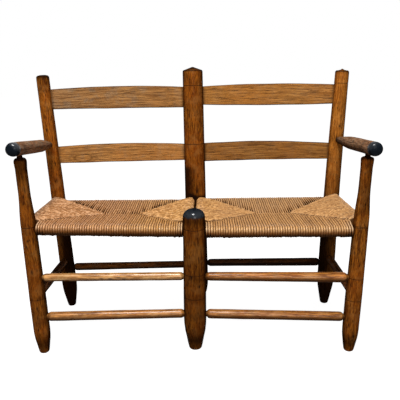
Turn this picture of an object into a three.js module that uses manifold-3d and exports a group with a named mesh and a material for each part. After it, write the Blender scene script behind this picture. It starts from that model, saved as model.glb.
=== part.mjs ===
import * as THREE from 'three';
import { mergeVertices } from 'three/addons/utils/BufferGeometryUtils.js';
import Module from 'manifold-3d';

// A double ladder-back bench: six turned posts, rungs, bent slats, two turned arms and two
// rush seats, each wound on four rails. Lengths are in millimetres, z is up from the floor,
// x runs to the right and y to the back. While the bench is built, the outer front posts
// stand near the line y = 0, half the front span to each side of x = 0.

const wasm = await Module();
wasm.setup();

// Where the posts stand on the floor, and how far they lean for each unit of height
const frontSpan = 917.2;
const frontShift = -0.4;
const rearSpan = 921.1;
const rearShift = -0.15;
const frontCenterShift = -1.2;
const rearCenterShift = 1.4;
const frameDepth = 330;
const frontLeftSetback = -2.5;
const frontCenterSetback = 17;
const frontRightSetback = -5;
const rearRightSetback = 4;
const frontLeftLeanShare = -0.0363;
const frontCenterLeanShare = 0.0068;
const frontRightLeanShare = 0.0452;
const rearLeftLeanShare = -0.0505;
const rearCenterLeanShare = -0.0066;
const rearRightLeanShare = 0.0319;
const frontLeftRakeShare = 0.0092;
const frontCenterRakeShare = -0.0429;
const frontRightRakeShare = 0.0158;
const rearRakeShare = 0.0038;
const rearRightRakeShare = -0.0062;

// Clearances: round a tenon, and between a turned shoulder and the post that it faces
const fit = 0.3;
const shoulderGap = 1.2;

// Flat cut under each foot, and the rounding of its rim
const footTrim = 1;
const footRim = 3;

// Outer front posts, which carry the arms: a soft waist over the seat and a rounded head
const outerFrontPost = {
  footDiameter: 29,
  footHeight: 72,
  lowDiameter: 47.8,
  straightHeight: 180,
  seatDiameter: 43,
  waistStart: 400,
  waistEnd: 500,
  waistDiameter: 33,
  headDiameter: 36,
  headRound: 8,
  headLength: 22,
};

// Centre front post, domed just above the seat
const centerFrontPost = {
  footDiameter: 39,
  footHeight: 100,
  lowDiameter: 67.5,
  headDiameter: 64,
  headHeight: 413,
  domeHeight: 28,
};

// Rear posts, plain tapers with three different tops
const leftRearPost = {
  footDiameter: 27,
  footHeight: 90,
  lowDiameter: 51.5,
  headDiameter: 42,
  headHeight: 812.5,
  domeHeight: 8,
};
const centerRearPost = {
  footDiameter: 36,
  footHeight: 95,
  lowDiameter: 76,
  headDiameter: 66,
  headHeight: 826.5,
  coneHeight: 12,
};
const rightRearPost = {
  footDiameter: 28,
  footHeight: 105,
  lowDiameter: 58,
  headDiameter: 44.5,
  headHeight: 817.5,
  coneHeight: 5,
  nibDiameter: 7,
  nibHeight: 2.5,
};

// How a foot swells: share of its height, share of its gain in radius
const footShares = [[0.2, 0.24], [0.4, 0.5], [0.6, 0.78], [0.8, 0.93], [1, 1]];

// Arms: turned bars that lie on the outer front posts and enter the rear posts.
// Heights are those of the axis over the front post and in the rear post.
const armDiameter = 39;
const armDomeLength = 17;
const armNeckDiameter = 19;
const armTaperPowerShare = 1.6;
const armTenon = { diameter: 16, depth: 15 };
const armGap = 5;
const headTenon = { diameter: 15, depth: 22 };
const leftArm = { frontHeight: 617, rearHeight: 589, overhang: 61, taper: 105 };
const rightArm = { frontHeight: 608, rearHeight: 593.5, overhang: 69, taper: 160 };

// Rungs: height of the axis and diameter at both ends, neck at the post and end taper
const rungTenon = { diameter: 14, depth: 16 };
const leftLowerRung = {
  fromHeight: 114, toHeight: 115.2, fromDiameter: 27.5, toDiameter: 26.5, neck: 20, endTaper: 6,
};
const rightLowerRung = {
  fromHeight: 113.9, toHeight: 107.3, fromDiameter: 28.5, toDiameter: 28, neck: 16, endTaper: 10,
};
const leftUpperRung = {
  fromHeight: 238, toHeight: 235.4, fromDiameter: 23.5, toDiameter: 24.5, neck: 17, endTaper: 6,
};
const rightUpperRung = {
  fromHeight: 234.8, toHeight: 230, fromDiameter: 25.8, toDiameter: 30.5, neck: 18, endTaper: 14,
};
const leftRearRung = {
  fromHeight: 146.5, toHeight: 152.8, fromDiameter: 26.5, toDiameter: 24.5, neck: 18, endTaper: 8,
};
const rightRearRung = {
  fromHeight: 158, toHeight: 156, fromDiameter: 26, toDiameter: 28.5, neck: 17, endTaper: 10,
};
const leftSideRung = {
  fromHeight: 181.5, toHeight: 174, fromDiameter: 26.5, toDiameter: 26.5, neck: 18, endTaper: 9,
};
const centerSideRung = {
  fromHeight: 176, toHeight: 178, fromDiameter: 26, toDiameter: 26, neck: 18, endTaper: 9,
};
const rightSideRung = {
  fromHeight: 175.5, toHeight: 179.5, fromDiameter: 25.5, toDiameter: 25.5, neck: 18, endTaper: 9,
};

// Slats: height of the bottom edge and width at both ends, arch of the top edge and how far
// the bottom edge sags between the posts
const slatThickness = 9;
const slatChamfer = { height: 2.5, depth: 1.8 };
const slatBow = 5;
const slatMortiseDepth = 15;
const leftUpperSlat = {
  fromHeight: 707, toHeight: 707.5, fromWidth: 64, toWidth: 65.5, arch: 8, sag: 0,
};
const rightUpperSlat = {
  fromHeight: 716, toHeight: 713, fromWidth: 56.8, toWidth: 60.8, arch: 7.5, sag: 3.6,
};
const leftLowerSlat = {
  fromHeight: 523.5, toHeight: 530, fromWidth: 56, toWidth: 53.5, arch: 8, sag: 0,
};
const rightLowerSlat = {
  fromHeight: 524, toHeight: 528, fromWidth: 60.8, toWidth: 52, arch: 8.5, sag: -1.2,
};

// Seat rails, which the rush hides. The two inner side rails share the centre posts,
// each set off to its own side. Side rails lie higher than front and rear ones.
const railDiameter = 22;
const railNeckDiameter = 19;
const railEndTaper = 6;
const railTenon = { diameter: 13, depth: 13.5 };
const innerRailOffset = 20;
const leftSeat = {
  frontRail: { fromHeight: 385, toHeight: 374 },
  rearRail: { fromHeight: 376.5, toHeight: 374.5 },
  leftRail: { fromHeight: 396, toHeight: 395 },
  rightRail: { fromHeight: 389, toHeight: 389 },
  leftReach: 193,
  rightReach: 162,
};
const rightSeat = {
  frontRail: { fromHeight: 372, toHeight: 370 },
  rearRail: { fromHeight: 378, toHeight: 377.5 },
  leftRail: { fromHeight: 389, toHeight: 389 },
  rightRail: { fromHeight: 394, toHeight: 395 },
  leftReach: 178,
  rightReach: 180,
};

// Rush: its layer over a rail, its thickness in the middle and how far the middle hangs
const rushLayer = 6.5;
const rushMiddleThickness = 26;
const rushDip = 5;

// Facets of the turned pieces, and steps of the shaped ones
const postSides = 18;
const rungSides = 12;
const waistSteps = 4;
const domeSteps = 5;
const domePower = 0.8;
const taperSteps = 4;
const slatSteps = 8;
const seatSteps = 4;
const rollAngles = [75, 50, 25].map(THREE.MathUtils.degToRad);

const lerp = THREE.MathUtils.lerp;
const up = new THREE.Vector3(0, 1, 0);

// Closed geometry as a solid that can be cut
function toSolid(geometry) {
  geometry.deleteAttribute('normal');
  geometry.deleteAttribute('uv');
  const merged = mergeVertices(geometry);
  const triangles = [];
  for (let at = 0; at < merged.index.count; at += 3) {
    const [a, b, c] = [0, 1, 2].map((corner) => merged.index.getX(at + corner));
    if (a !== b && b !== c && c !== a) {
      triangles.push(a, b, c);
    }
  }
  const vertProperties = merged.attributes.position.array;
  const triVerts = new Uint32Array(triangles);
  return new wasm.Manifold(new wasm.Mesh({ numProp: 3, vertProperties, triVerts }));
}

// Turned solid: pairs of radius and distance along the axis, counted from the start
function turned(profile, start, axis, sides) {
  const points = profile.map(([radius, along]) => new THREE.Vector2(radius, along));
  const geometry = new THREE.LatheGeometry(points, sides);
  geometry.applyQuaternion(new THREE.Quaternion().setFromUnitVectors(up, axis.clone().normalize()));
  geometry.translate(start.x, start.y, start.z);
  return toSolid(geometry);
}

// Plain cylinder between two distances along the axis, for a socket
function pin(radius, from, to) {
  return [[0, from], [radius, from], [radius, to], [0, to]];
}

// Box of cells whose corners are put in place one by one
function shaped(cells, place) {
  const geometry = new THREE.BoxGeometry(1, 1, 1, ...cells);
  const position = geometry.attributes.position;
  for (let at = 0; at < position.count; at += 1) {
    const corner = [position.getX(at), position.getY(at), position.getZ(at)];
    const [i, j, k] = corner.map((value, side) => Math.round((value + 1 / 2) * cells[side]));
    const point = place(i, j, k);
    position.setXYZ(at, point.x, point.y, point.z);
  }
  return toSolid(geometry);
}

// Foot of a post, from the cut below the floor up to the full diameter
function footProfile(size) {
  const foot = size.footDiameter / 2;
  const gain = size.lowDiameter / 2 - foot;
  const swell = footShares.map(([rise, out]) => [foot + gain * out, size.footHeight * rise]);
  return [[0, -footTrim], [foot - footRim, -footTrim], [foot, footRim], ...swell];
}

// From the rim to the axis by a curve with fuller shoulders than a quarter of an ellipse
function domeProfile(radius, height, rise) {
  return Array.from({ length: domeSteps + 1 }, (_, step) => {
    const angle = (Math.PI / 2) * (step / domeSteps);
    const out = step === domeSteps ? 0 : radius * Math.cos(angle) ** domePower;
    return [out, height + rise * Math.sin(angle) ** domePower];
  });
}

// Outer front post up to the tenon that holds its arm
function outerFrontProfile(size, arm) {
  const underside = arm.frontHeight - armDiameter / 2;
  const shoulder = underside - armGap;
  const [waist, head, tenon] = [size.waistDiameter, size.headDiameter, headTenon.diameter].map(
    (diameter) => diameter / 2);
  const profile = [...footProfile(size), [size.lowDiameter / 2, size.straightHeight]];
  for (let step = 0; step <= waistSteps; step += 1) {
    const share = step / waistSteps;
    const blend = (1 - Math.cos(Math.PI * share)) / 2;
    const radius = lerp(size.seatDiameter / 2, waist, blend);
    profile.push([radius, lerp(size.waistStart, size.waistEnd, share)]);
  }
  profile.push([waist, shoulder - size.headRound - size.headLength]);
  for (const [out, along] of domeProfile(head - tenon, shoulder - size.headRound, size.headRound)) {
    profile.push([tenon + out, along]);
  }
  return [...profile, [tenon, underside + headTenon.depth], [0, underside + headTenon.depth]];
}

function domedPostProfile(size) {
  return [...footProfile(size), ...domeProfile(size.headDiameter / 2, size.headHeight, size.domeHeight)];
}

function conedPostProfile(size) {
  const head = [size.headDiameter / 2, size.headHeight];
  return [...footProfile(size), head, [0, size.headHeight + size.coneHeight]];
}

// Low cone that keeps the small nib on which the post was turned
function nibbedPostProfile(size) {
  const nib = size.nibDiameter / 2;
  const base = size.headHeight + size.coneHeight;
  const head = [[size.headDiameter / 2, size.headHeight], [nib, base]];
  return [...footProfile(size), ...head, [nib, base + size.nibHeight], [0, base + size.nibHeight]];
}

// Post: where it stands, its slope, its outline and the cuts that other pieces make in it
function post(x, y, lean, rake, profile) {
  return { foot: new THREE.Vector3(x, y, 0), slope: new THREE.Vector3(lean, rake, 1), profile, cuts: [] };
}

const frontLeft = post(frontShift - frontSpan / 2, frontLeftSetback, frontLeftLeanShare, frontLeftRakeShare,
  outerFrontProfile(outerFrontPost, leftArm));
const frontCenter = post(frontCenterShift, frontCenterSetback, frontCenterLeanShare, frontCenterRakeShare,
  domedPostProfile(centerFrontPost));
const frontRight = post(frontShift + frontSpan / 2, frontRightSetback, frontRightLeanShare,
  frontRightRakeShare, outerFrontProfile(outerFrontPost, rightArm));
const rearLeft = post(rearShift - rearSpan / 2, frameDepth, rearLeftLeanShare, rearRakeShare,
  domedPostProfile(leftRearPost));
const rearCenter = post(rearCenterShift, frameDepth, rearCenterLeanShare, rearRakeShare,
  conedPostProfile(centerRearPost));
const rearRight = post(rearShift + rearSpan / 2, frameDepth + rearRightSetback, rearRightLeanShare,
  rearRightRakeShare, nibbedPostProfile(rightRearPost));

// Point of a post's axis at a height above the floor
function axisAt(from, height) {
  return from.foot.clone().addScaledVector(from.slope, height);
}

// Radius of a post at a height, read from its outline
function radiusAt(from, height) {
  const above = from.profile.findIndex(([, along]) => along > height);
  const [lowRadius, low] = from.profile[above - 1];
  const [highRadius, high] = from.profile[above];
  return lerp(lowRadius, highRadius, (height - low) / (high - low));
}

// Uncut solid of a post, grown all round where it cuts the rush
function postSolid(from, grow) {
  const profile = from.profile.map(([radius, along]) => [radius > 0 ? radius + grow : 0, along]);
  return turned(profile, from.foot, from.slope, postSides);
}

// How far a bar's tenon and shoulder stay from the axis of the post that they meet
function seatInPost(from, height, offset, size, tenon) {
  const radius = radiusAt(from, height);
  const inner = Math.max(Math.abs(offset) - size.neck, 0);
  const tip = Math.sqrt(radius ** 2 - offset ** 2) - tenon.depth;
  return { tip, shoulder: Math.sqrt(radius ** 2 - inner ** 2) + shoulderGap };
}

// Bar turned between two posts, with a tenon at each end. It cuts its sockets in the
// posts; its grown copy cuts the rush that is wound on it.
function bar(fromPost, toPost, size, tenon, offset = 0) {
  const start = axisAt(fromPost, size.fromHeight);
  const end = axisAt(toPost, size.toHeight);
  start.x += offset;
  end.x += offset;
  const axis = end.clone().sub(start);
  const length = axis.length();
  const near = seatInPost(fromPost, size.fromHeight, offset, size, tenon);
  const far = seatInPost(toPost, size.toHeight, offset, size, tenon);
  const radius = tenon.diameter / 2;
  const [fromTip, toTip] = [near.tip, length - far.tip];
  const [fromShoulder, toShoulder] = [near.shoulder, length - far.shoulder];
  const solid = (grow) => turned([
    [0, fromTip - grow],
    [radius + grow, fromTip - grow],
    [radius + grow, fromShoulder],
    [size.neck / 2 + grow, fromShoulder],
    [size.fromDiameter / 2 + grow, fromShoulder + size.endTaper],
    [size.toDiameter / 2 + grow, toShoulder - size.endTaper],
    [size.neck / 2 + grow, toShoulder],
    [radius + grow, toShoulder],
    [radius + grow, toTip + grow],
    [0, toTip + grow],
  ], start, axis, rungSides);
  fromPost.cuts.push(turned(pin(radius + fit, fromTip - fit, fromShoulder), start, axis, rungSides));
  toPost.cuts.push(turned(pin(radius + fit, toShoulder, toTip + fit), start, axis, rungSides));
  return { solid: solid(0), grown: solid(fit) };
}

// Slat between two rear posts, arched along its top edge and bowed to the back
function slatSolid(fromPost, toPost, size, grow) {
  const start = axisAt(fromPost, size.fromHeight + size.fromWidth / 2);
  const end = axisAt(toPost, size.toHeight + size.toWidth / 2);
  const span = end.x - start.x;
  const near = radiusAt(fromPost, size.fromHeight) - slatMortiseDepth - grow;
  const far = radiusAt(toPost, size.toHeight) - slatMortiseDepth - grow;
  const rows = [0, slatChamfer.height, -slatChamfer.height, 0];
  return shaped([slatSteps, rows.length - 1, 1], (i, j, k) => {
    const along = lerp(near, span - far, i / slatSteps);
    const share = along / span;
    const arc = 4 * share * (1 - share);
    const bottom = lerp(size.fromHeight, size.toHeight, share) - size.sag * arc - grow;
    const width = lerp(size.fromWidth, size.toWidth, share) + (size.arch + size.sag) * arc + grow * 2;
    const chamfer = j === 0 || j === rows.length - 1 ? slatChamfer.depth : 0;
    const half = slatThickness / 2 + grow - chamfer;
    const y = lerp(start.y, end.y, share) + slatBow * arc + (k === 0 ? half : -half);
    const z = bottom + (j < rows.length / 2 ? 0 : width) + rows[j];
    return new THREE.Vector3(start.x + along, y, z);
  });
}

// Slat, with its mortises cut in both posts
function slat(fromPost, toPost, size) {
  const mortise = slatSolid(fromPost, toPost, size, fit);
  fromPost.cuts.push(mortise);
  toPost.cuts.push(mortise);
  return slatSolid(fromPost, toPost, size, 0);
}

// Arm: a bar with a domed front end, a long taper to the back and a tenon in the rear
// post. Its underside is bored for the tenon of the front post.
function arm(frontPost, rearPost, size) {
  const over = axisAt(frontPost, size.frontHeight);
  const end = axisAt(rearPost, size.rearHeight);
  const axis = end.clone().sub(over).normalize();
  const start = over.clone().addScaledVector(axis, -size.overhang);
  const face = start.distanceTo(end) - radiusAt(rearPost, size.rearHeight);
  const shoulder = face - shoulderGap;
  const tip = face + armTenon.depth;
  const [radius, neck, tenon] = [armDiameter, armNeckDiameter, armTenon.diameter].map(
    (diameter) => diameter / 2);
  const profile = domeProfile(radius, armDomeLength, -armDomeLength).reverse();
  for (let step = 0; step <= taperSteps; step += 1) {
    const share = step / taperSteps;
    const gain = (radius - neck) * (1 - share ** armTaperPowerShare);
    profile.push([neck + gain, shoulder - size.taper * (1 - share)]);
  }
  profile.push([tenon, shoulder], [tenon, tip], [0, tip]);
  rearPost.cuts.push(turned(pin(tenon + fit, shoulder, tip + fit), start, axis, rungSides));
  const underside = size.frontHeight - radius;
  const bore = pin(headTenon.diameter / 2 + fit, underside - armGap, underside + headTenon.depth + fit);
  return turned(profile, start, axis, postSides).subtract(
    turned(bore, frontPost.foot, frontPost.slope, postSides));
}

// Steps over one side of a seat: up round the roll, then in from the rail to its reach
function stepsFromRail(reach, roll) {
  const outside = rollAngles.map((angle) => ({ inside: -roll * Math.sin(angle), angle }));
  const inside = Array.from({ length: seatSteps + 1 }, (_, step) => (
    { inside: reach * (step / seatSteps), angle: 0 }));
  return [...outside, ...inside];
}

// Height of the rush's middle layer. A side strand leaves its rail for the mitre, where
// it turns to the front or rear rail; the mitres fall to the middle of the seat.
function rushHeight(fromSide, fromEdge, side, edge, middle) {
  const mitre = (share) => lerp((side + edge) / 2, middle, share);
  if (fromSide < fromEdge) {
    return lerp(side, mitre(fromEdge), fromSide / fromEdge);
  }
  if (fromSide === 0) {
    return mitre(0);
  }
  const turn = Math.min(fromSide, 1);
  return lerp(edge, mitre(turn), fromEdge / turn);
}

// Height of a seat rail's axis at a share of its length
function railHeight(rail, share) {
  return lerp(rail.fromHeight, rail.toHeight, share);
}

// Rush of one seat: rolls over the four rails and a crossed, slightly hollow middle
function rushSolid(size, corners, cornerPosts, rails) {
  const roll = railDiameter / 2 + rushLayer;
  const rim = roll * Math.sin(rollAngles[0]);
  const width = corners.rearLeft.distanceTo(corners.rearRight);
  const depth = corners.frontLeft.distanceTo(corners.rearLeft);
  const leftSteps = stepsFromRail(size.leftReach, roll);
  const rightSteps = stepsFromRail(size.rightReach, roll).reverse();
  const frontSteps = stepsFromRail(depth / 2, roll);
  const columns = [...leftSteps, ...rightSteps];
  const rows = [...frontSteps, ...frontSteps.slice(0, -1).reverse()];
  const place = (i, j, k) => {
    const [column, row] = [columns[i], rows[j]];
    const corner = Math.hypot(Math.min(column.inside, 0), Math.min(row.inside, 0));
    const pull = rim / Math.max(corner, rim);
    const across = (column.inside < 0 ? column.inside * pull : column.inside) / width;
    const back = (row.inside < 0 ? row.inside * pull : row.inside) / depth;
    const fromLeft = i < leftSteps.length;
    const fromFront = j < frontSteps.length;
    const u = fromLeft ? across : 1 - across;
    const v = fromFront ? back : 1 - back;
    const front = corners.frontLeft.clone().lerp(corners.frontRight, u);
    const point = front.lerp(corners.rearLeft.clone().lerp(corners.rearRight, u), v);
    const fromSide = Math.max(column.inside, 0) / (fromLeft ? size.leftReach : size.rightReach);
    const fromEdge = Math.max(row.inside, 0) / (depth / 2);
    const side = railHeight(fromLeft ? size.leftRail : size.rightRail, v);
    const [frontEdge, rearEdge] = [railHeight(size.frontRail, u), railHeight(size.rearRail, u)];
    const middle = (frontEdge + rearEdge) / 2 - rushDip;
    const height = rushHeight(fromSide, fromEdge, side, fromFront ? frontEdge : rearEdge, middle);
    const flat = Math.min(fromSide, fromEdge, 1);
    const half = lerp(roll, rushMiddleThickness / 2, flat) * Math.cos(column.angle) * Math.cos(row.angle);
    point.z = height + (k === 0 ? -half : half);
    return point;
  };
  const wound = shaped([columns.length - 1, rows.length - 1, 1], place);
  const hollows = cornerPosts.map((corner) => postSolid(corner, fit));
  return [...hollows, ...rails.map((rail) => rail.grown)].reduce(
    (solid, hollow) => solid.subtract(hollow), wound);
}

// One seat: four rails between its corner posts, and the rush that hides them
function seat(size, cornerPosts, leftOffset, rightOffset) {
  const [nearLeft, nearRight, farLeft, farRight] = cornerPosts;
  const rail = (fromPost, toPost, heights, offset) => bar(fromPost, toPost, {
    ...heights,
    fromDiameter: railDiameter,
    toDiameter: railDiameter,
    neck: railNeckDiameter,
    endTaper: railEndTaper,
  }, railTenon, offset);
  const corner = (from, height, offset) => axisAt(from, height).add(new THREE.Vector3(offset, 0, 0)).setZ(0);
  const rails = {
    front: rail(nearLeft, nearRight, size.frontRail, 0),
    rear: rail(farLeft, farRight, size.rearRail, 0),
    left: rail(nearLeft, farLeft, size.leftRail, leftOffset),
    right: rail(nearRight, farRight, size.rightRail, rightOffset),
  };
  const corners = {
    frontLeft: corner(nearLeft, size.frontRail.fromHeight, leftOffset),
    frontRight: corner(nearRight, size.frontRail.toHeight, rightOffset),
    rearLeft: corner(farLeft, size.rearRail.fromHeight, leftOffset),
    rearRight: corner(farRight, size.rearRail.toHeight, rightOffset),
  };
  return { rails, rush: rushSolid(size, corners, cornerPosts, Object.values(rails)) };
}

// Post with its sockets and mortises, cut flat on the floor
function finishedPost(from) {
  const standing = postSolid(from, 0).trimByPlane([0, 0, 1], 0);
  return from.cuts.reduce((solid, cut) => solid.subtract(cut), standing);
}

// Finishes: colour and roughness
const finishes = {
  post: [0x84491a, 0.45],
  slat: [0x9a6530, 0.55],
  arm: [0x5b4132, 0.5],
  frontRung: [0xa8733f, 0.45],
  darkRung: [0x3c2818, 0.6],
  rail: [0x9c7a4c, 0.7],
  rush: [0xb98a4f, 0.85],
};

const bench = new THREE.Group();

// Adds a solid to the bench as a named mesh, whose own origin is where the piece starts
function add(name, solid, finish, origin) {
  const { vertProperties, triVerts } = solid.getMesh();
  const geometry = new THREE.BufferGeometry();
  geometry.setAttribute('position', new THREE.BufferAttribute(vertProperties, 3));
  geometry.setIndex(new THREE.BufferAttribute(triVerts, 1));
  geometry.translate(-origin.x, -origin.y, -origin.z);
  geometry.computeVertexNormals();
  const [color, roughness] = finishes[finish];
  const mesh = new THREE.Mesh(geometry, new THREE.MeshStandardMaterial({ color, roughness, metalness: 0 }));
  mesh.name = name;
  mesh.position.copy(origin);
  bench.add(mesh);
}

const rungs = [
  ['front_lower_rung_left', frontLeft, frontCenter, leftLowerRung, 'frontRung'],
  ['front_lower_rung_right', frontCenter, frontRight, rightLowerRung, 'frontRung'],
  ['front_upper_rung_left', frontLeft, frontCenter, leftUpperRung, 'frontRung'],
  ['front_upper_rung_right', frontCenter, frontRight, rightUpperRung, 'frontRung'],
  ['rear_rung_left', rearLeft, rearCenter, leftRearRung, 'darkRung'],
  ['rear_rung_right', rearCenter, rearRight, rightRearRung, 'darkRung'],
  ['side_rung_left', frontLeft, rearLeft, leftSideRung, 'darkRung'],
  ['side_rung_center', frontCenter, rearCenter, centerSideRung, 'darkRung'],
  ['side_rung_right', frontRight, rearRight, rightSideRung, 'darkRung'],
];
for (const [name, fromPost, toPost, size, finish] of rungs) {
  const rung = bar(fromPost, toPost, size, rungTenon);
  add(name, rung.solid, finish, axisAt(fromPost, size.fromHeight));
}

const slats = [
  ['upper_slat_left', rearLeft, rearCenter, leftUpperSlat],
  ['upper_slat_right', rearCenter, rearRight, rightUpperSlat],
  ['lower_slat_left', rearLeft, rearCenter, leftLowerSlat],
  ['lower_slat_right', rearCenter, rearRight, rightLowerSlat],
];
for (const [name, fromPost, toPost, size] of slats) {
  add(name, slat(fromPost, toPost, size), 'slat', axisAt(fromPost, size.fromHeight));
}

add('arm_left', arm(frontLeft, rearLeft, leftArm), 'arm', axisAt(frontLeft, leftArm.frontHeight));
add('arm_right', arm(frontRight, rearRight, rightArm), 'arm', axisAt(frontRight, rightArm.frontHeight));

const seats = [
  ['left', leftSeat, [frontLeft, frontCenter, rearLeft, rearCenter], 0, -innerRailOffset],
  ['right', rightSeat, [frontCenter, frontRight, rearCenter, rearRight], innerRailOffset, 0],
];
for (const [side, size, cornerPosts, leftOffset, rightOffset] of seats) {
  const { rails, rush } = seat(size, cornerPosts, leftOffset, rightOffset);
  const origin = axisAt(cornerPosts[0], size.frontRail.fromHeight);
  const [outer, inner] = side === 'left' ? [rails.left, rails.right] : [rails.right, rails.left];
  add(`front_seat_rail_${side}`, rails.front.solid, 'rail', origin);
  add(`rear_seat_rail_${side}`, rails.rear.solid, 'rail', origin);
  add(`outer_seat_rail_${side}`, outer.solid, 'rail', origin);
  add(`inner_seat_rail_${side}`, inner.solid, 'rail', origin);
  add(`rush_seat_${side}`, rush, 'rush', origin);
}

const posts = [
  ['front_post_left', frontLeft],
  ['front_post_center', frontCenter],
  ['front_post_right', frontRight],
  ['rear_post_left', rearLeft],
  ['rear_post_center', rearCenter],
  ['rear_post_right', rearRight],
];
for (const [name, from] of posts) {
  add(name, finishedPost(from), 'post', from.foot);
}

// The finished bench stands on z = 0 with its outline centred on the z axis
const outline = new THREE.Box3().setFromObject(bench);
const middle = outline.getCenter(new THREE.Vector3());
bench.position.set(-middle.x, -middle.y, -outline.min.z);

export default bench;
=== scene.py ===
import bpy
import numpy as np
from mathutils import Matrix


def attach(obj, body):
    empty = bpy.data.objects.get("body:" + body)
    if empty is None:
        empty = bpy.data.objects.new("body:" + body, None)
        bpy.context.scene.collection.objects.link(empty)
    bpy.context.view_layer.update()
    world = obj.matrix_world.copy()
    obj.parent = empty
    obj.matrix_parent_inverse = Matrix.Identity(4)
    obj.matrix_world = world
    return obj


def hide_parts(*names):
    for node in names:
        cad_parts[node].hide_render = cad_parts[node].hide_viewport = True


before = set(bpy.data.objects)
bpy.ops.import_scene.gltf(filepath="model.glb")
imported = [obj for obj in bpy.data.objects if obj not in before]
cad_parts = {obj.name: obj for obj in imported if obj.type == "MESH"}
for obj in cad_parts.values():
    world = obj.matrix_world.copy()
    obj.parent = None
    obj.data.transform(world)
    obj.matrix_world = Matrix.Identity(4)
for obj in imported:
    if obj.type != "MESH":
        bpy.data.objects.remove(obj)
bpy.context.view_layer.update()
print("frame loaded:", len(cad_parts), "nodes")

# Where the bench's own drawing origin, midway between the outer front feet, lies in the frame
drawingOrigin = np.array([0.007006, -0.152024, 0.0])


class NodeTree:
    # A node tree with a short call for each kind of node used below. A value handed to a call
    # is a plain one, a colour of three numbers, or the output that feeds it.
    def __init__(self, tree):
        self.tree = tree
        tree.nodes.clear()

    def add(self, kind, inputs, **options):
        node = self.tree.nodes.new("ShaderNode" + kind)
        for option, value in options.items():
            setattr(node, option, value)
        for name, value in inputs.items():
            socket = node.inputs[name]
            if isinstance(value, bpy.types.NodeSocket):
                self.tree.links.new(value, socket)
            else:
                socket.default_value = (*value, 1.0) if socket.type == "RGBA" else value
        return node.outputs

    def math(self, operation, first, second=0.0):
        return self.add("Math", {0: first, 1: second}, operation=operation)[0]

    def times(self, first, second):
        return self.math("MULTIPLY", first, second)

    def plus(self, first, second):
        return self.math("ADD", first, second)

    def minus(self, first, second):
        return self.math("SUBTRACT", first, second)

    def rest(self, value):
        return self.minus(1.0, value)

    def ramp(self, value, low, high, toLow=0.0, toHigh=1.0, kind="SMOOTHSTEP"):
        return self.add("MapRange", {
            "Value": value, "From Min": low, "From Max": high, "To Min": toLow, "To Max": toHigh,
        }, interpolation_type=kind)["Result"]

    def line(self, value, toLow, toHigh, low=0.0, high=1.0):
        return self.ramp(value, low, high, toLow, toHigh, "LINEAR")

    def between(self, share, first, second):
        return self.add("Mix", {0: share, 2: first, 3: second}, data_type="FLOAT")[0]

    def blend(self, share, first, second):
        return self.add("Mix", {0: share, 6: first, 7: second}, data_type="RGBA")[2]

    def layers(self, color, steps):
        # Each step's colour covers what lies under it by the step's share
        for share, cover in steps:
            color = self.blend(share, color, cover)
        return color

    def noise(self, place, scale, detail, roughness, distortion=0.0):
        return self.add("TexNoise", {"Vector": place, "Scale": scale, "Detail": detail,
                                     "Roughness": roughness, "Distortion": distortion})[0]

    def vector(self, x, y, z):
        return self.add("CombineXYZ", {"X": x, "Y": y, "Z": z})[0]

    def parts(self, vector):
        return tuple(self.add("SeparateXYZ", {0: vector}))

    def attribute(self, name):
        return self.add("Attribute", {}, attribute_name=name)["Vector"]

    def position(self):
        return self.add("TexCoord", {})["Object"]

    def seenRays(self):
        # One where the ray comes from the camera, or by way of a reflection or clear glass
        rays = self.add("LightPath", {})
        seen = self.math("MAXIMUM", rays["Is Camera Ray"], rays["Is Glossy Ray"])
        return self.math("MAXIMUM", seen, rays["Is Transmission Ray"])


def newMaterial(name):
    # A material with an empty tree of its own
    material = bpy.data.materials.new(name)
    material.use_nodes = True
    return material, NodeTree(material.node_tree)


def showObject(name, data, matrix=None):
    thing = bpy.data.objects.new(name, data)
    if matrix is not None:
        thing.matrix_world = Matrix(matrix.tolist())
    bpy.context.scene.collection.objects.link(thing)
    return thing


def placeMatrix(right, up, back, place):
    # The three axes and the place are the columns of the object's matrix
    matrix = np.eye(4)
    matrix[:3] = np.column_stack([right, up, back, place])
    return matrix


# Camera, light and floor

cameraSetup = {
    "place": (0.0435, -1.3953, 0.7931),  # from the drawing origin
    "lens": 45.76, "sensor": 36.0,
    "shift": (-0.00125, 0.00125),  # shares of the picture's width
    "pitchDown": 13.253,  # degrees
    "yaw": -0.922, "roll": -0.877,
}
lightSetup = {
    "worldStrength": 0.17, "worldColor": (1.0, 0.985, 0.96),
    "floorColor": (0.34, 0.33, 0.32), "floorGlow": 0.955, "floorReach": 30.0,
    "lamps": [  # name, place, aim, size, watts
        ("high softbox", (-0.30, -1.30, 3.10), (0.0, 0.0, 0.40), 0.7, 108.0),
        ("front softbox", (0.50, -2.90, 1.20), (0.0, 0.0, 0.40), 1.2, 26.0),
    ],
}
white = (1.0, 1.0, 1.0)


def makeCamera(setup):
    # The view direction comes from yaw and pitch; the roll turns right and up about it
    pitch, yaw, roll = np.radians([setup["pitchDown"], setup["yaw"], setup["roll"]])
    forward = np.array([np.sin(yaw) * np.cos(pitch), np.cos(yaw) * np.cos(pitch), -np.sin(pitch)])
    right = np.array([np.cos(yaw), -np.sin(yaw), 0.0])
    up = np.cross(right, forward)
    data = bpy.data.cameras.new("photo camera")
    data.sensor_width = setup["sensor"]
    data.lens = setup["lens"]
    data.shift_x, data.shift_y = setup["shift"]
    bpy.context.scene.camera = showObject("photo camera", data, placeMatrix(
        np.cos(roll) * right + np.sin(roll) * up, np.cos(roll) * up - np.sin(roll) * right, -forward,
        drawingOrigin + setup["place"]))


def makeLamp(name, place, aim, size, watts):
    # A square area lamp whose -Z axis points from its place to its aim
    data = bpy.data.lights.new(name, "AREA")
    data.shape = "SQUARE"
    data.size = size
    data.energy = watts
    back = np.subtract(place, aim)
    back = back / np.linalg.norm(back)
    side = np.cross([0.0, 0.0, 1.0], back)
    side = side / np.linalg.norm(side)
    showObject(name, data, placeMatrix(side, np.cross(back, side), back, place))


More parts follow.
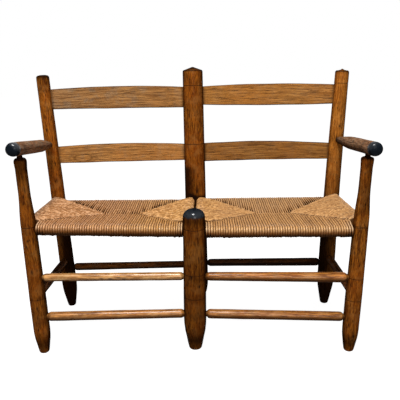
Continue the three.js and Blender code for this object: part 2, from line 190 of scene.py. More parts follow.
def makeWorld(setup):
    # White where it is seen, and the plain soft light everywhere else
    world = bpy.data.worlds.new("studio")
    bpy.context.scene.world = world
    world.use_nodes = True
    nodes = NodeTree(world.node_tree)
    soft = nodes.add("Background", {"Color": setup["worldColor"], "Strength": setup["worldStrength"]})
    bright = nodes.add("Background", {"Color": white, "Strength": 1.0})
    mixed = nodes.add("MixShader", {0: nodes.seenRays(), 1: soft[0], 2: bright[0]})
    nodes.add("OutputWorld", {"Surface": mixed[0]})


def makeFloor(setup):
    # A wide flat sheet: a plain matt colour, with an even white glow where it is seen
    mesh = bpy.data.meshes.new("studioFloor")
    wide = setup["floorReach"]
    mesh.from_pydata([(-wide, -wide, 0), (wide, -wide, 0), (wide, wide, 0), (-wide, wide, 0)], [],
                     [(0, 1, 2, 3)])
    material, nodes = newMaterial("studio floor")
    matt = nodes.add("BsdfDiffuse", {"Color": setup["floorColor"]})
    glow = nodes.times(nodes.seenRays(), setup["floorGlow"])
    light = nodes.add("Emission", {"Color": white, "Strength": glow})
    both = nodes.add("AddShader", {0: matt[0], 1: light[0]})
    nodes.add("OutputMaterial", {"Surface": both[0]})
    mesh.materials.append(material)
    showObject("studioFloor", mesh)


bpy.context.scene.view_settings.view_transform = "Standard"
makeCamera(cameraSetup)
makeWorld(lightSetup)
makeFloor(lightSetup)
for lamp in lightSetup["lamps"]:
    makeLamp(*lamp)
print("camera, lamps and floor made")


# Shader groups: each puts out only values that change over the surface


def makeGroup(name, inputs, build):
    # Inputs are names with a starting value, or None for a vector; build returns the outputs
    tree = bpy.data.node_groups.new(name, "ShaderNodeTree")
    for label, value in inputs.items():
        kind = "NodeSocketVector" if value is None else "NodeSocketFloat"
        socket = tree.interface.new_socket(name=label, in_out="INPUT", socket_type=kind)
        if value is not None:
            socket.default_value = value
    outputs = build(NodeTree(tree), tree.nodes.new("NodeGroupInput").outputs)
    for label in outputs:
        tree.interface.new_socket(name=label, in_out="OUTPUT", socket_type="NodeSocketFloat")
    end = tree.nodes.new("NodeGroupOutput")
    for label, value in outputs.items():
        tree.links.new(value, end.inputs[label])
    return tree


def figureNodes(nodes, given):
    # Timber figure: noise drawn out along the grain's third axis, once broad for the growth
    # rings, once fine for the fibres, and once cut high for short dark pores
    across = nodes.math("DIVIDE", 1.0, given["Streak Width"])
    along = nodes.math("DIVIDE", across, given["Streak Stretch"])
    drawn = nodes.add("VectorMath", {0: given["Grain"], 1: nodes.vector(across, across, along)},
                      operation="MULTIPLY")[0]
    streaks = nodes.ramp(nodes.noise(drawn, 1.0, 5.0, 0.62, given["Wander"]), 0.38, 0.62)
    fibres = nodes.ramp(nodes.noise(drawn, 3.4, 4.0, 0.7, 0.2), 0.42, 0.64)
    pores = nodes.ramp(nodes.noise(drawn, 2.1, 3.0, 0.55, 0.4), given["Pore Cut"],
                       nodes.plus(given["Pore Cut"], 0.10))
    height = nodes.plus(nodes.times(streaks, 0.4), nodes.times(fibres, 0.6))
    return {"Streaks": streaks, "Fibres": fibres, "Pores": pores,
            "Height": nodes.minus(height, nodes.times(pores, 0.8))}


def wearNodes(nodes, given):
    # Hand wear: soft blotches in the bench's own space, as wide as the size that is set
    scale = nodes.math("DIVIDE", 1.0, given["Blotch Size"])
    low, high = (reach(given["Cut"], given["Softness"]) for reach in (nodes.minus, nodes.plus))
    return {"Mask": nodes.ramp(nodes.noise(given["Position"], scale, 4.0, 0.6, 0.3), low, high)}


def paintNodes(nodes, given):
    # Old paint: covers where the distance to its edge, roughened by noise, is above zero
    noise = nodes.noise(given["Position"], 170.0, 3.0, 0.55)
    push = nodes.times(nodes.minus(noise, 0.5), given["Raggedness"])
    softness = given["Softness"]
    return {"Mask": nodes.ramp(nodes.plus(given["Distance"], push), nodes.times(softness, -1.0), softness)}


figureGroup = makeGroup("timber figure", {
    "Grain": None, "Streak Width": 0.006, "Streak Stretch": 14.0, "Wander": 0.6, "Pore Cut": 0.62,
}, figureNodes)
wearGroup = makeGroup("hand wear", {
    "Position": None, "Blotch Size": 0.05, "Cut": 0.5, "Softness": 0.2}, wearNodes)
paintGroup = makeGroup("paint edge", {
    "Position": None, "Distance": 0.0, "Raggedness": 0.005, "Softness": 0.0015}, paintNodes)


def closeMaterial(nodes, look, color, rough, height, distance, gloss):
    # The one shader: its gloss is a clear coat, so that what is dull stays dull
    bump = nodes.add("Bump", {"Strength": look["bump"], "Distance": distance, "Height": height})
    shader = nodes.add("BsdfPrincipled", {
        "Base Color": color, "Roughness": rough, "Normal": bump[0], "Specular IOR Level": 0.0,
        "Coat Weight": gloss, "Coat Roughness": look["coatRoughness"]})
    nodes.add("OutputMaterial", {"Surface": shader[0]})


def makeWood(name, look):
    # Wood: the figure chooses between two tones, then wear, soil with painted shade, marks and paint lie on
    # it
    material, nodes = newMaterial(name)
    position = nodes.position()
    toPaint, soilAndShadeMask, marked = nodes.parts(nodes.attribute("marks"))
    weathered, handled, _ = nodes.parts(nodes.attribute("weather"))
    figure = nodes.add("Group", {
        "Grain": nodes.attribute("grain"), "Streak Width": look["streakWidth"], "Wander": look["wander"],
        "Streak Stretch": look["streakStretch"], "Pore Cut": look["poreCut"]}, node_tree=figureGroup)
    coat = nodes.add("Group", {"Position": position, "Distance": toPaint}, node_tree=paintGroup)["Mask"]
    warm, worn, sheen = (nodes.add("Group", {
        "Position": position, "Blotch Size": size, "Cut": cut, "Softness": softness,
    }, node_tree=wearGroup)["Mask"] for size, cut, softness in (
        (look["blotch"], 0.5, 0.22), (look["wornSize"], look["wornCut"], 0.10), (0.012, 0.52, 0.2)))
    color = nodes.layers(nodes.blend(figure["Streaks"], look["dark"], look["light"]), [
        (nodes.times(warm, look["warmShare"]), look["warm"]),
        (nodes.times(figure["Fibres"], look["fibreShare"]), look["fibre"]),
        (nodes.times(worn, look["wornShare"]), look["worn"]),
        # A piece's own share of weathering is stronger where it is worn
        (nodes.times(weathered, nodes.ramp(worn, 0.0, 1.0, 0.5, 1.0)),
         nodes.blend(figure["Streaks"], look["weatheredDark"], look["weathered"])),
        (nodes.times(figure["Pores"], look["poreShare"]), look["pore"]),
        # Soil and painted shade both darken towards this colour
        (soilAndShadeMask, look["soil"]),
        (marked, look["mark"]),
        (coat, nodes.blend(sheen, look["paint"], look["paintWorn"])),
    ])
    rough = nodes.line(figure["Fibres"], look["roughness"] - 0.08, look["roughness"] + 0.08)
    rough = nodes.plus(rough, nodes.plus(nodes.times(worn, 0.08), nodes.times(soilAndShadeMask, 0.12)))
    paintRough = nodes.line(sheen, look["paintRoughness"], look["paintRoughness"] + 0.14)
    # Polish lies on wood free of soil and painted shade, and gloss on the paint where it is handled
    polish = nodes.times(nodes.line(figure["Streaks"], 0.4, 1.0), look["polish"])
    polish = nodes.times(polish, nodes.rest(soilAndShadeMask))
    gloss = nodes.between(coat, polish, nodes.line(handled, look["paintGloss"], look["handledGloss"]))
    height = nodes.times(figure["Height"], nodes.rest(nodes.times(coat, 0.75)))
    closeMaterial(nodes, look, color, nodes.between(coat, rough, paintRough), nodes.minus(height, marked),
                  0.0008, gloss)
    return material


paintColors = {"paint": (0.003, 0.005, 0.008), "paintWorn": (0.007, 0.010, 0.015), "paintRoughness": 0.30,
               "paintGloss": 0.05, "handledGloss": 0.60}

postLook = {
    "dark": (0.105, 0.028, 0.0040), "light": (0.460, 0.150, 0.014),
    "warm": (0.430, 0.095, 0.007), "warmShare": 0.60,
    "fibre": (0.026, 0.008, 0.002), "fibreShare": 0.50,
    "weathered": (0.520, 0.205, 0.036), "weatheredDark": (0.330, 0.112, 0.014),
    "worn": (0.440, 0.180, 0.042), "wornShare": 0.40, "wornSize": 0.035, "wornCut": 0.57,
    "pore": (0.016, 0.006, 0.003), "poreShare": 0.90, "poreCut": 0.575,
    "soil": (0.0070, 0.0024, 0.0012), "mark": (0.008, 0.004, 0.003),
    "streakWidth": 0.0046, "streakStretch": 9.0, "wander": 0.45, "blotch": 0.11,
    "roughness": 0.46, "polish": 0.05, "coatRoughness": 0.20, "bump": 0.5,
    **paintColors,
}
slatLook = {
    **postLook,
    "dark": (0.260, 0.102, 0.022), "light": (0.590, 0.260, 0.056),
    "warm": (0.530, 0.195, 0.030),
    "weathered": (0.430, 0.258, 0.130), "weatheredDark": (0.180, 0.100, 0.052),
    "fibre": (0.105, 0.040, 0.013),
    "worn": (0.420, 0.230, 0.100), "wornShare": 0.12, "wornCut": 0.55,
    "pore": (0.048, 0.020, 0.008), "poreShare": 0.85, "poreCut": 0.555,
    "soil": (0.045, 0.018, 0.006), "mark": (0.040, 0.016, 0.006),
    "streakWidth": 0.0034, "streakStretch": 28.0, "wander": 0.10, "roughness": 0.52,
}
armLook = {
    **postLook,
    "dark": (0.105, 0.052, 0.025), "light": (0.345, 0.190, 0.098),
    "warm": (0.280, 0.110, 0.049), "warmShare": 0.55, "fibre": (0.050, 0.032, 0.022), "fibreShare": 0.4,
    "worn": (0.200, 0.160, 0.110), "wornSize": 0.02,
    "pore": (0.020, 0.012, 0.010),
    "soil": (0.030, 0.018, 0.012),
    "streakWidth": 0.005, "blotch": 0.045,
    "roughness": 0.50, "coatRoughness": 0.26, "handledGloss": 1.0,
}
frontRungLook = {
    **postLook,
    "dark": (0.105, 0.034, 0.010), "light": (0.630, 0.245, 0.036),
    "warm": (0.480, 0.140, 0.016), "warmShare": 0.55,
    "weathered": (0.740, 0.430, 0.170), "weatheredDark": (0.300, 0.140, 0.042),
    "fibre": (0.105, 0.034, 0.009), "fibreShare": 0.46,
    "worn": (0.540, 0.280, 0.105), "wornShare": 0.3, "wornSize": 0.05, "wornCut": 0.55,
    "pore": (0.060, 0.026, 0.012), "poreShare": 0.75, "poreCut": 0.60,
    "soil": (0.060, 0.021, 0.006),
    "streakWidth": 0.0040, "streakStretch": 12.0, "blotch": 0.08,
    "roughness": 0.38, "polish": 0.85, "coatRoughness": 0.27,
}
darkRungLook = {
    **postLook,
    "dark": (0.058, 0.017, 0.003), "light": (0.300, 0.096, 0.018),
    "warm": (0.240, 0.062, 0.009), "fibre": (0.014, 0.008, 0.005),
    "worn": (0.200, 0.100, 0.045),
    "pore": (0.006, 0.004, 0.003),
    "soil": (0.008, 0.005, 0.004),
    "streakWidth": 0.005, "roughness": 0.55,
}
rushLook = {
    "dark": (0.200, 0.078, 0.020), "light": (0.700, 0.350, 0.115),
    "golden": (0.680, 0.345, 0.090), "pinkish": (0.560, 0.240, 0.100), "goldenShare": 0.38,
    "pale": (0.640, 0.480, 0.300), "threadShare": 0.50, "looseShare": 0.75,
    "leaf": (0.270, 0.135, 0.040), "leafCut": 0.60, "leafShare": 0.60,
    "waveLight": (0.860, 0.490, 0.205), "waveDark": (0.250, 0.105, 0.032),
    "wavePink": (0.860, 0.500, 0.270), "waveShare": 0.65,
    "bleached": (0.520, 0.245, 0.125), "bleachedShare": 0.30,
    "dulled": (0.500, 0.310, 0.235), "dulledShare": 0.16,
    # Painted shade: valleys and twist grooves, deeper shade, and the darkest hollows and roll undersides
    "valleyShade": (0.050, 0.019, 0.007), "valleyShare": 0.90,
    "deep": (0.145, 0.050, 0.010), "hollow": (0.020, 0.008, 0.004),
    "twistPitch": 0.013, "twistShare": 0.45,
    "roughness": 0.52, "polish": 0.80, "coatRoughness": 0.30,
    # Painted highlight on the front roll, together with its rub wear
    "rubHighlight": (0.860, 0.520, 0.220), "rubHighlightShare": 0.60,
    "bump": 0.7,
}


def makeRush(name, look):
    # Rush: every strand has its own tone, drawn-out leaves show along it, the twist runs round
    # it as slanted ridges, and painted shade darkens the valleys between strands and the twist's grooves
    material, nodes = newMaterial(name)
    along, across, tone = nodes.parts(nodes.attribute("strand"))
    hollow, pale, order = nodes.parts(nodes.attribute("shade"))
    rubHighlight, waxy, wavy = nodes.parts(nodes.attribute("wear"))

    def strandNoise(alongScale, acrossScale, detail, roughness):
        # Longer than it is wide, and different from strand to strand
        place = nodes.vector(nodes.times(along, alongScale), nodes.times(across, acrossScale),
                             nodes.times(tone, 90.0))
        return nodes.noise(place, 1.0, detail, roughness)

    leaves = strandNoise(22.0, 0.8, 3.0, 0.6)
    threads = strandNoise(60.0, 3.5, 4.0, 0.65)
    # Waves of light and dark run over several neighbours at a time
    place = nodes.vector(nodes.times(along, 46.0), nodes.times(order, 85.0), 0.0)
    waves = nodes.noise(place, 1.0, 2.0, 0.6, 1.5)
    twist = nodes.plus(nodes.math("DIVIDE", along, look["twistPitch"]), nodes.times(across, 0.42))
    twist = nodes.plus(twist, nodes.times(leaves, 0.8))
    ridges = nodes.math("ABSOLUTE", nodes.math("SINE", nodes.times(twist, np.pi)))
    # The left end of the bench has faded pinkish, the middle is golden, and the right is dull
    spread = nodes.noise(nodes.position(), 5.0, 3.0, 0.55)
    reach = nodes.plus(nodes.parts(nodes.position())[0], nodes.times(nodes.minus(spread, 0.5), 0.35))
    faded = nodes.ramp(reach, -0.32, 0.02, 1.0, 0.0)
    dulled = nodes.ramp(reach, -0.04, 0.12)
    wavy = nodes.times(wavy, nodes.rest(nodes.times(dulled, 0.45)))
    edge = nodes.math("POWER", nodes.math("ABSOLUTE", across), 2.2)
    # Where hands and legs rub the front roll the crowns are bleached and polished, and a band up the roll is
    # painted lighter as a highlight
    rubHighlightMask = nodes.times(nodes.times(nodes.rest(edge), rubHighlight), nodes.ramp(threads, 0.30, 0.60, 0.35, 1.0))
    rubHighlightMask = nodes.times(rubHighlightMask, nodes.rest(nodes.times(faded, 0.60)))
    color = nodes.layers(nodes.blend(nodes.line(tone, 0.15, 0.9), look["dark"], look["light"]), [
        (look["goldenShare"], nodes.blend(faded, look["golden"], look["pinkish"])),
        (nodes.times(nodes.ramp(leaves, look["leafCut"] - 0.1, look["leafCut"] + 0.08), look["leafShare"]),
         look["leaf"]),
        (nodes.times(nodes.ramp(threads, 0.54, 0.72), look["threadShare"]), look["pale"]),
        (nodes.times(pale, look["looseShare"]), look["pale"]),
        (nodes.times(faded, look["bleachedShare"]), look["bleached"]),
        (nodes.times(dulled, look["dulledShare"]), look["dulled"]),
        (nodes.times(nodes.ramp(waves, 0.50, 0.60, 0.0, look["waveShare"]), wavy),
         nodes.blend(faded, look["waveLight"], look["wavePink"])),
        (nodes.times(nodes.ramp(waves, 0.40, 0.50, look["waveShare"], 0.0), wavy), look["waveDark"]),
        (nodes.times(rubHighlightMask, look["rubHighlightShare"]), look["rubHighlight"]),
        # Painted shade: the valleys between strands, the grooves of the twist, and the hollows, mitres and
        # roll undersides from the shade attribute
        (nodes.times(edge, look["valleyShare"]), look["valleyShade"]),
        (nodes.times(nodes.math("POWER", nodes.rest(ridges), 4.0), look["twistShare"]), look["valleyShade"]),
        (nodes.ramp(hollow, 0.0, 0.70), look["deep"]),
        (nodes.ramp(hollow, 0.62, 1.08), look["hollow"]),
    ])
    rough = nodes.line(threads, look["roughness"] - 0.12, look["roughness"] + 0.12, 0.3, 0.7)
    height = nodes.plus(nodes.times(ridges, 0.8), nodes.times(threads, 0.5))
    # The waxy crowns of the strands glint; valleys and hollows don't
    crown = nodes.times(nodes.rest(edge), nodes.math("MAXIMUM", nodes.rest(hollow), 0.0))
    crown = nodes.times(nodes.times(crown, nodes.ramp(leaves, 0.36, 0.60, 0.4, 1.0)), waxy)
    closeMaterial(nodes, look, color, rough, height, 0.0009, nodes.times(crown, look["polish"]))
    return material


postWood = makeWood("turned post wood", postLook)
slatWood = makeWood("slat wood", slatLook)
armWood = makeWood("arm wood", armLook)
frontRungWood = makeWood("front rung wood", frontRungLook)
darkRungWood = makeWood("dark rung wood", darkRungLook)
rushMaterial = makeRush("woven rush", rushLook)
print("materials made:", len(bpy.data.materials))


# Surfaces on a grid


def bell(values, place, width):
    # Bell curve: one at the place, and falling away on both sides over the width
    return np.exp(-((values - place) / width) ** 2)


def rise(values, low, high):
    # Smooth step from zero at low to one at high
    share = np.clip((values - low) / (high - low), 0.0, 1.0)
    return share * share * (3.0 - 2.0 * share)


def mix(first, second, share):
    # Straight line from the first, at a share of zero, to the second, at one
    return first + (second - first) * share


def vectors(shape, *values):
    # Three values for every corner of a grid, each handed over as an array or as one number
    return np.stack([np.broadcast_to(part, shape) for part in values], -1)


def nodeName(name):
    # The piece frontPostLeft stands in for the frame's node front_post_left
    return "".join("_" + letter.lower() if letter.isupper() else letter for letter in name)


def addPiece(name, points, quads, triangles, attributes, material, slot):
    # Arrays of corners and faces become a mesh; its attributes are named arrays per corner
    mesh = bpy.data.meshes.new(name)
    loops = np.concatenate([quads.ravel(), triangles.ravel()]).astype(np.int32)
    sizes = np.concatenate([np.full(len(quads), 4), np.full(len(triangles), 3)])
    mesh.vertices.add(len(points))
    mesh.vertices.foreach_set("co", points.astype(np.float32).ravel())
    mesh.loops.add(len(loops))
    mesh.loops.foreach_set("vertex_index", loops)
    mesh.polygons.add(len(sizes))
    mesh.polygons.foreach_set("loop_start", (np.cumsum(sizes) - sizes).astype(np.int32))
    mesh.polygons.foreach_set("use_smooth", np.ones(len(sizes), bool))
    mesh.update(calc_edges=True)
    mesh.validate()
    for label, values in attributes.items():
        layer = mesh.attributes.new(label, "FLOAT_VECTOR", "POINT")
        layer.data.foreach_set("vector", values.astype(np.float32).ravel())
    mesh.materials.append(material)
    piece = showObject(name, mesh)
    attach(piece, "root")
    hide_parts(nodeName(name))
    return piece


def closedTube(grid, fields):
    # Squares join neighbouring rings, each closed round to its own first point; triangles join
    # the two end rings to a pole in their middle; the fields get values at the poles too
    rings, sides = grid.shape[:2]
    ring, side = np.meshgrid(np.arange(rings - 1), np.arange(sides), indexing="ij")
    after = (side + 1) % sides
    quads = np.stack([ring * sides + side, ring * sides + after, (ring + 1) * sides + after,
                      (ring + 1) * sides + side], -1).reshape(-1, 4)
    side, after, end = side[0], after[0], (rings - 1) * sides
    first = np.stack([after, side, np.full(sides, rings * sides)], -1)
    last = np.stack([end + side, end + after, np.full(sides, rings * sides + 1)], -1)

    def withPoles(values):
        flat = values.reshape(-1, values.shape[-1])
        return np.concatenate([flat, values[:1].mean(1), values[-1:].mean(1)])

    return withPoles(grid), quads, np.concatenate([first, last]), {k: withPoles(v) for k, v in fields.items()}


def softOutline(corners, step, rounding, extra=()):
    # Radius and distance along a piece: its corners are joined by straight lines and walked at
    # an even step; each point is then the mean of its neighbours within the rounding length.
    # Extra distances are walked too, so that a groove keeps its sharp bottom.
    corners = np.array(corners, float)
    lengths = np.concatenate([[0.0], np.cumsum(np.hypot(*np.diff(corners, axis=0).T))])
    walk = np.linspace(0.0, lengths[-1], int(lengths[-1] / step) + 1)
    line = np.column_stack([np.interp(walk, lengths, corners[:, column]) for column in (0, 1)])
    reach = max(1, round(rounding / step))
    radius = np.pad(line[:, 0], reach, mode="reflect", reflect_type="odd")
    along = np.pad(line[:, 1], reach, mode="edge")
    window = np.ones(2 * reach + 1) / (2 * reach + 1)
    radius, along = (np.convolve(values, window, "valid") for values in (radius, along))
    radius[[0, -1]] = 0.0
    wanted = np.array(extra, float)
    body = np.flatnonzero(radius > 0.6 * radius.max())
    rising = slice(body[0], body[-1] + 1)
    added = np.interp(wanted, along[rising], radius[rising])
    order = np.argsort(np.concatenate([along[rising], wanted]), kind="stable")
    middle = np.column_stack([
        np.concatenate([radius[rising], added]), np.concatenate([along[rising], wanted])])[order]
    ends = np.column_stack([radius, along])
    return np.concatenate([ends[: body[0]], middle, ends[body[-1] + 1:]])


def unevenness(around, along, seed):
    # Hand turning: six long waves round and along the piece, each with its own phase, from -1 to 1
    rng = np.random.default_rng(seed)
    turns = rng.integers(0, 4, 6)
    lengths = rng.uniform(0.06, 0.35, 6)
    phases = rng.uniform(0, 2 * np.pi, 6)
    waves = np.sin(turns * around[..., None] + 2 * np.pi * along[..., None] / lengths + phases)
    return waves.mean(-1)


def turnedPiece(piece, outline, start, direction, material, slot, attributes):
    # A solid of revolution: start, plus distance along the axis, plus radius times the circle.
    # The radius loses each groove's bell curve and gains the unevenness of hand work.
    grooves = piece.get("grooves", [])
    extra = [place + shift for place, depth, width in grooves for shift in np.linspace(-1.6, 1.6, 7) * width]
    profile = softOutline(outline, piece.get("step", 0.002), piece.get("rounding", 0.002), extra)
    radius, along = profile[1:-1, 0], profile[1:-1, 1]
    cut = sum(depth * bell(along, place, width) for place, depth, width in grooves)
    around = np.linspace(0.0, 2 * np.pi, piece.get("sides", 48), endpoint=False)
    axis = np.asarray(direction, float) / np.linalg.norm(direction)
    first = np.cross([0.0, 1.0, 0.0], axis)
    first /= np.linalg.norm(first)
    second = np.cross(axis, first)
    angle, length = np.meshgrid(around, along)
    rough = unevenness(angle, length, piece["seed"])
    shape = (radius - cut)[:, None] * (1.0 + piece.get("uneven", 0.012) * rough)
    circle = np.cos(angle)[..., None] * first + np.sin(angle)[..., None] * second
    grid = np.asarray(start, float) + length[..., None] * axis + shape[..., None] * circle
    # A bent post leans out by half a sine wave, and no sole goes below the floor
    grid[..., 0] += piece.get("bow", 0.0) * np.sin(np.pi * length / along[-1])
    grid[..., 2] = np.maximum(grid[..., 2], 0.0)
    offset = np.random.default_rng(piece["seed"] + 50).uniform(0.0, 3.0, 3)
    painted, soil, dark, handled = attributes(length, angle, shape, grid)
    addPiece(piece["name"], *closedTube(grid, {
        "grain": vectors(angle.shape, shape * np.cos(angle), shape * np.sin(angle), length) + offset,
        "marks": vectors(angle.shape, painted, np.clip(soil, 0.0, 0.95), np.clip(dark, 0.0, 1.0)),
        "weather": vectors(angle.shape, piece.get("weathered", 0.0), handled, 0.0),
    }), material, slot)


def knotMarks(knots, length, angle, shape):
    # Dark spots: each a bell curve at its own length and angle, with its own width and height
    return sum(np.exp(-(np.angle(np.exp(1j * (angle - toward))) * shape / wide) ** 2
                      - ((length - place) / tall) ** 2) for place, toward, wide, tall in knots)


# Posts

outerFront = {
    "footDiameter": 0.029, "footHeight": 0.072, "lowDiameter": 0.0478, "straightHeight": 0.180,
    "seatDiameter": 0.043, "waistStart": 0.400, "waistEnd": 0.500, "waistDiameter": 0.033,
    "headDiameter": 0.036, "headRound": 0.008, "headLength": 0.022,
    "neckDiameter": 0.0150, "neckRise": 0.012,
}
# Foot and lean are the axis on the floor and its slope. Grooves: height, depth, width. Knots:
# height, angle, width, length. Stains and painted shade: from, to, angle, share. Dark top: share, start,
# softness.
# Joints are the heights where other pieces enter.
posts = {
    "frontLeft": {
        **outerFront,
        "name": "frontPostLeft", "seed": 3,
        "foot": (-0.4590, -0.0025), "lean": (-0.0363, 0.0092),
        "shoulder": 0.5925, "headRound": 0.013, "headLength": 0.017,
        "shade": 0.40, "darkTop": (0.30, 0.5425, 0.018), "neckDarkening": 0.75,
        "grooves": [(0.3930, 0.0005, 0.0009), (0.1745, 0.0005, 0.0009)],
        "joints": [0.113, 0.2375, 0.179, 0.385],
        "knots": [(0.356, 4.71, 0.0028, 0.0035), (0.262, 4.74, 0.0026, 0.0060), (0.150, 4.8, 0.003, 0.006),
                  (0.500, 5.20, 0.0018, 0.0080), (0.484, 4.85, 0.0018, 0.0050)],
    },
    "frontRight": {
        **outerFront,
        "name": "frontPostRight", "seed": 8,
        "foot": (0.4582, -0.0050), "lean": (0.0452, 0.0158),
        "shoulder": 0.5835,
        "shade": 0.30, "darkTop": (0.62, 0.5675, 0.018), "neckDarkening": 0.45,
        "stainsAndShade": [(0.42, 0.58, 5.2, 0.34)],
        "grooves": [(0.3820, 0.0005, 0.0009), (0.3860, 0.0004, 0.0009), (0.2300, 0.0005, 0.0009),
                    (0.1630, 0.0005, 0.0009)],
        "joints": [0.106, 0.2295, 0.174, 0.370],
        "knots": [(0.055, 4.90, 0.0035, 0.0050), (0.2725, 4.73, 0.0022, 0.0030)],
    },
    "frontCenter": {
        "name": "frontPostCenter", "seed": 12, "sides": 56,
        "foot": (-0.0012, 0.0170), "lean": (0.0068, -0.0429),
        "footDiameter": 0.039, "footHeight": 0.100, "lowDiameter": 0.0675,
        "headDiameter": 0.064, "headHeight": 0.413, "domeHeight": 0.028, "domeSteps": 24,
        "paintHeight": 0.4205, "paintFade": 0.35,
        "shade": 0.53,
        "stainsAndShade": [(0.02, 0.20, 4.71, 0.07)],
        "grooves": [(0.3850, 0.0005, 0.0010), (0.2470, 0.0004, 0.0009), (0.1730, 0.0005, 0.0010)],
        "joints": [0.119, 0.237, 0.178],
        "knots": [(0.2440, 4.455, 0.0035, 0.0050), (0.2570, 5.00, 0.0016, 0.0085),
                  (0.2570, 5.20, 0.0012, 0.0060), (0.2170, 3.99, 0.0030, 0.0045),
                  (0.2140, 5.15, 0.0032, 0.0045)],
    },
    "rearLeft": {
        "name": "rearPostLeft", "seed": 21,
        "foot": (-0.4607, 0.330), "lean": (-0.0505, 0.0038),
        "footDiameter": 0.027, "footHeight": 0.090, "lowDiameter": 0.0515,
        "headDiameter": 0.042, "headHeight": 0.8125, "domeHeight": 0.008, "domeSteps": 16,
        "shade": 0.10, "rushDarkening": 0.10,
        "darkTop": (0.75, 0.800, 0.022), "darkLow": 0.95, "litSide": -1.0,
        "stainsAndShade": [(0.755, 0.90, 4.71, 0.30)],
        "joints": [0.152, 0.372, 0.525, 0.708, 0.589],
        "knots": [(0.640, 4.6, 0.002, 0.006), (0.560, 4.4, 0.002, 0.007), (0.465, 4.9, 0.002, 0.005)],
    },
    "rearCenter": {
        "name": "rearPostCenter", "seed": 34, "sides": 56,
        "foot": (0.0014, 0.330), "lean": (-0.0066, 0.0038),
        "footDiameter": 0.036, "footHeight": 0.095, "lowDiameter": 0.076,
        "headDiameter": 0.066, "headHeight": 0.8265, "coneHeight": 0.012,
        "shade": 0.33, "darkTop": (0.75, 0.818, 0.020), "darkLow": 0.70,
        # Of these, the first is the rush's painted shadow together with drip stains, the second and third are
        # painted shade on both sides of the top, and the last is painted shade on the front between the seats
        "stainsAndShade": [(0.39, 0.52, 3.5, 0.60), (0.778, 0.90, 0.5, 0.22), (0.778, 0.90, 2.9, 0.22),
                   (0.33, 0.42, 4.71, 0.75)],
        "grooves": [(0.7775, 0.0005, 0.0010), (0.5860, 0.0004, 0.0010), (0.8255, 0.0003, 0.0020)],
        "joints": [0.155, 0.374, 0.529, 0.712],
        "knots": [(0.412, 4.3, 0.005, 0.010), (0.428, 4.9, 0.003, 0.010), (0.405, 4.65, 0.006, 0.008),
                  (0.455, 4.2, 0.002, 0.010), (0.436, 5.2, 0.002, 0.012), (0.445, 4.55, 0.0015, 0.012)],
    },
    "rearRight": {
        "name": "rearPostRight", "seed": 47,
        "foot": (0.4604, 0.334), "lean": (0.0319, -0.0062), "bow": -0.0030,
        "footDiameter": 0.028, "footHeight": 0.105, "lowDiameter": 0.058,
        "headDiameter": 0.0445, "headHeight": 0.8175, "coneHeight": 0.005,
        "nibDiameter": 0.007, "nibHeight": 0.0025,
        "weathered": 0.60, "rushDarkening": 0.38,
        "darkTop": (0.75, 0.804, 0.020), "darkLow": 0.95, "litSide": 1.0,
        "stainsAndShade": [(0.10, 0.90, 0.1, 0.30)],
        "grooves": [(0.7785, 0.0005, 0.0010), (0.8165, 0.0003, 0.0020)],
        "joints": [0.157, 0.372, 0.529, 0.712, 0.5935],
        "knots": [(0.640, 4.8, 0.003, 0.005), (0.602, 4.5, 0.002, 0.006), (0.672, 4.9, 0.002, 0.006)],
    },
}
never = 9.0  # a height that no post reaches
postSize = {
    "shade": 0.0,
    "stainsAndShade": [],
    "grooves": [],
    "grooveDark": 0.85,
    "footSoil": (0.72, 0.032, 0.028),  # share, height and reach
    "jointSoil": (0.12, 0.016),  # share and reach
    "edgeSoilAndShade": (0.28, 0.006, 0.018),  # share, distance under the paint, and reach
    # Shade painted down both sides of a post; darkening near the seat and at the neck; how much lighter a
    # rear leg's lit side is painted
    "sideShade": 0.40, "rushDarkening": 0.0, "neckDarkening": 0.0, "litSideLightening": 0.60,
    "legTop": (0.25, 0.42),  # heights between which a darker leg ends
    "rushPlace": (0.40, 0.10),
    "stainEdge": 0.02,
    # darkLow: darker rear legs under the seat, partly dark finish and partly painted shade; litSide: the side
    # painted lighter as lit
    "darkTop": (0.0, never, 0.01), "darkLow": 0.0, "litSide": 0.0,
    "shoulder": never, "paintHeight": never, "paintFade": 1.0,
}
footSwell = [(0.2, 0.24), (0.4, 0.5), (0.6, 0.78), (0.8, 0.93), (1.0, 1.0)]  # height and radius shares
domePower = 0.8


def axisPoint(post, height):
    # Point of a post's axis at a height above the floor
    piece = posts[post]
    return drawingOrigin + [*piece["foot"], 0.0] + height * np.array([*piece["lean"], 1.0])


def postRadius(post, height):
    # A post tapers evenly from its foot to its head, or, with a waist, from its straight leg
    piece = posts[post]
    keys = ("straightHeight", "waistStart", "seatDiameter") if "waistStart" in piece else (
        "footHeight", "headHeight", "headDiameter")
    low, high, upperDiameter = (piece[key] for key in keys)
    share = np.clip((height - low) / (high - low), 0.0, 1.0)
    return mix(piece["lowDiameter"], upperDiameter, share) / 2


def domeOutline(radius, height, rising, steps):
    # From the rim to the axis by a curve with fuller shoulders than a quarter of an ellipse
    angle = np.linspace(0.0, np.pi / 2, steps)
    out, up = np.abs(np.cos(angle)) ** domePower, np.sin(angle) ** domePower
    return list(zip(radius * out, height + rising * up))


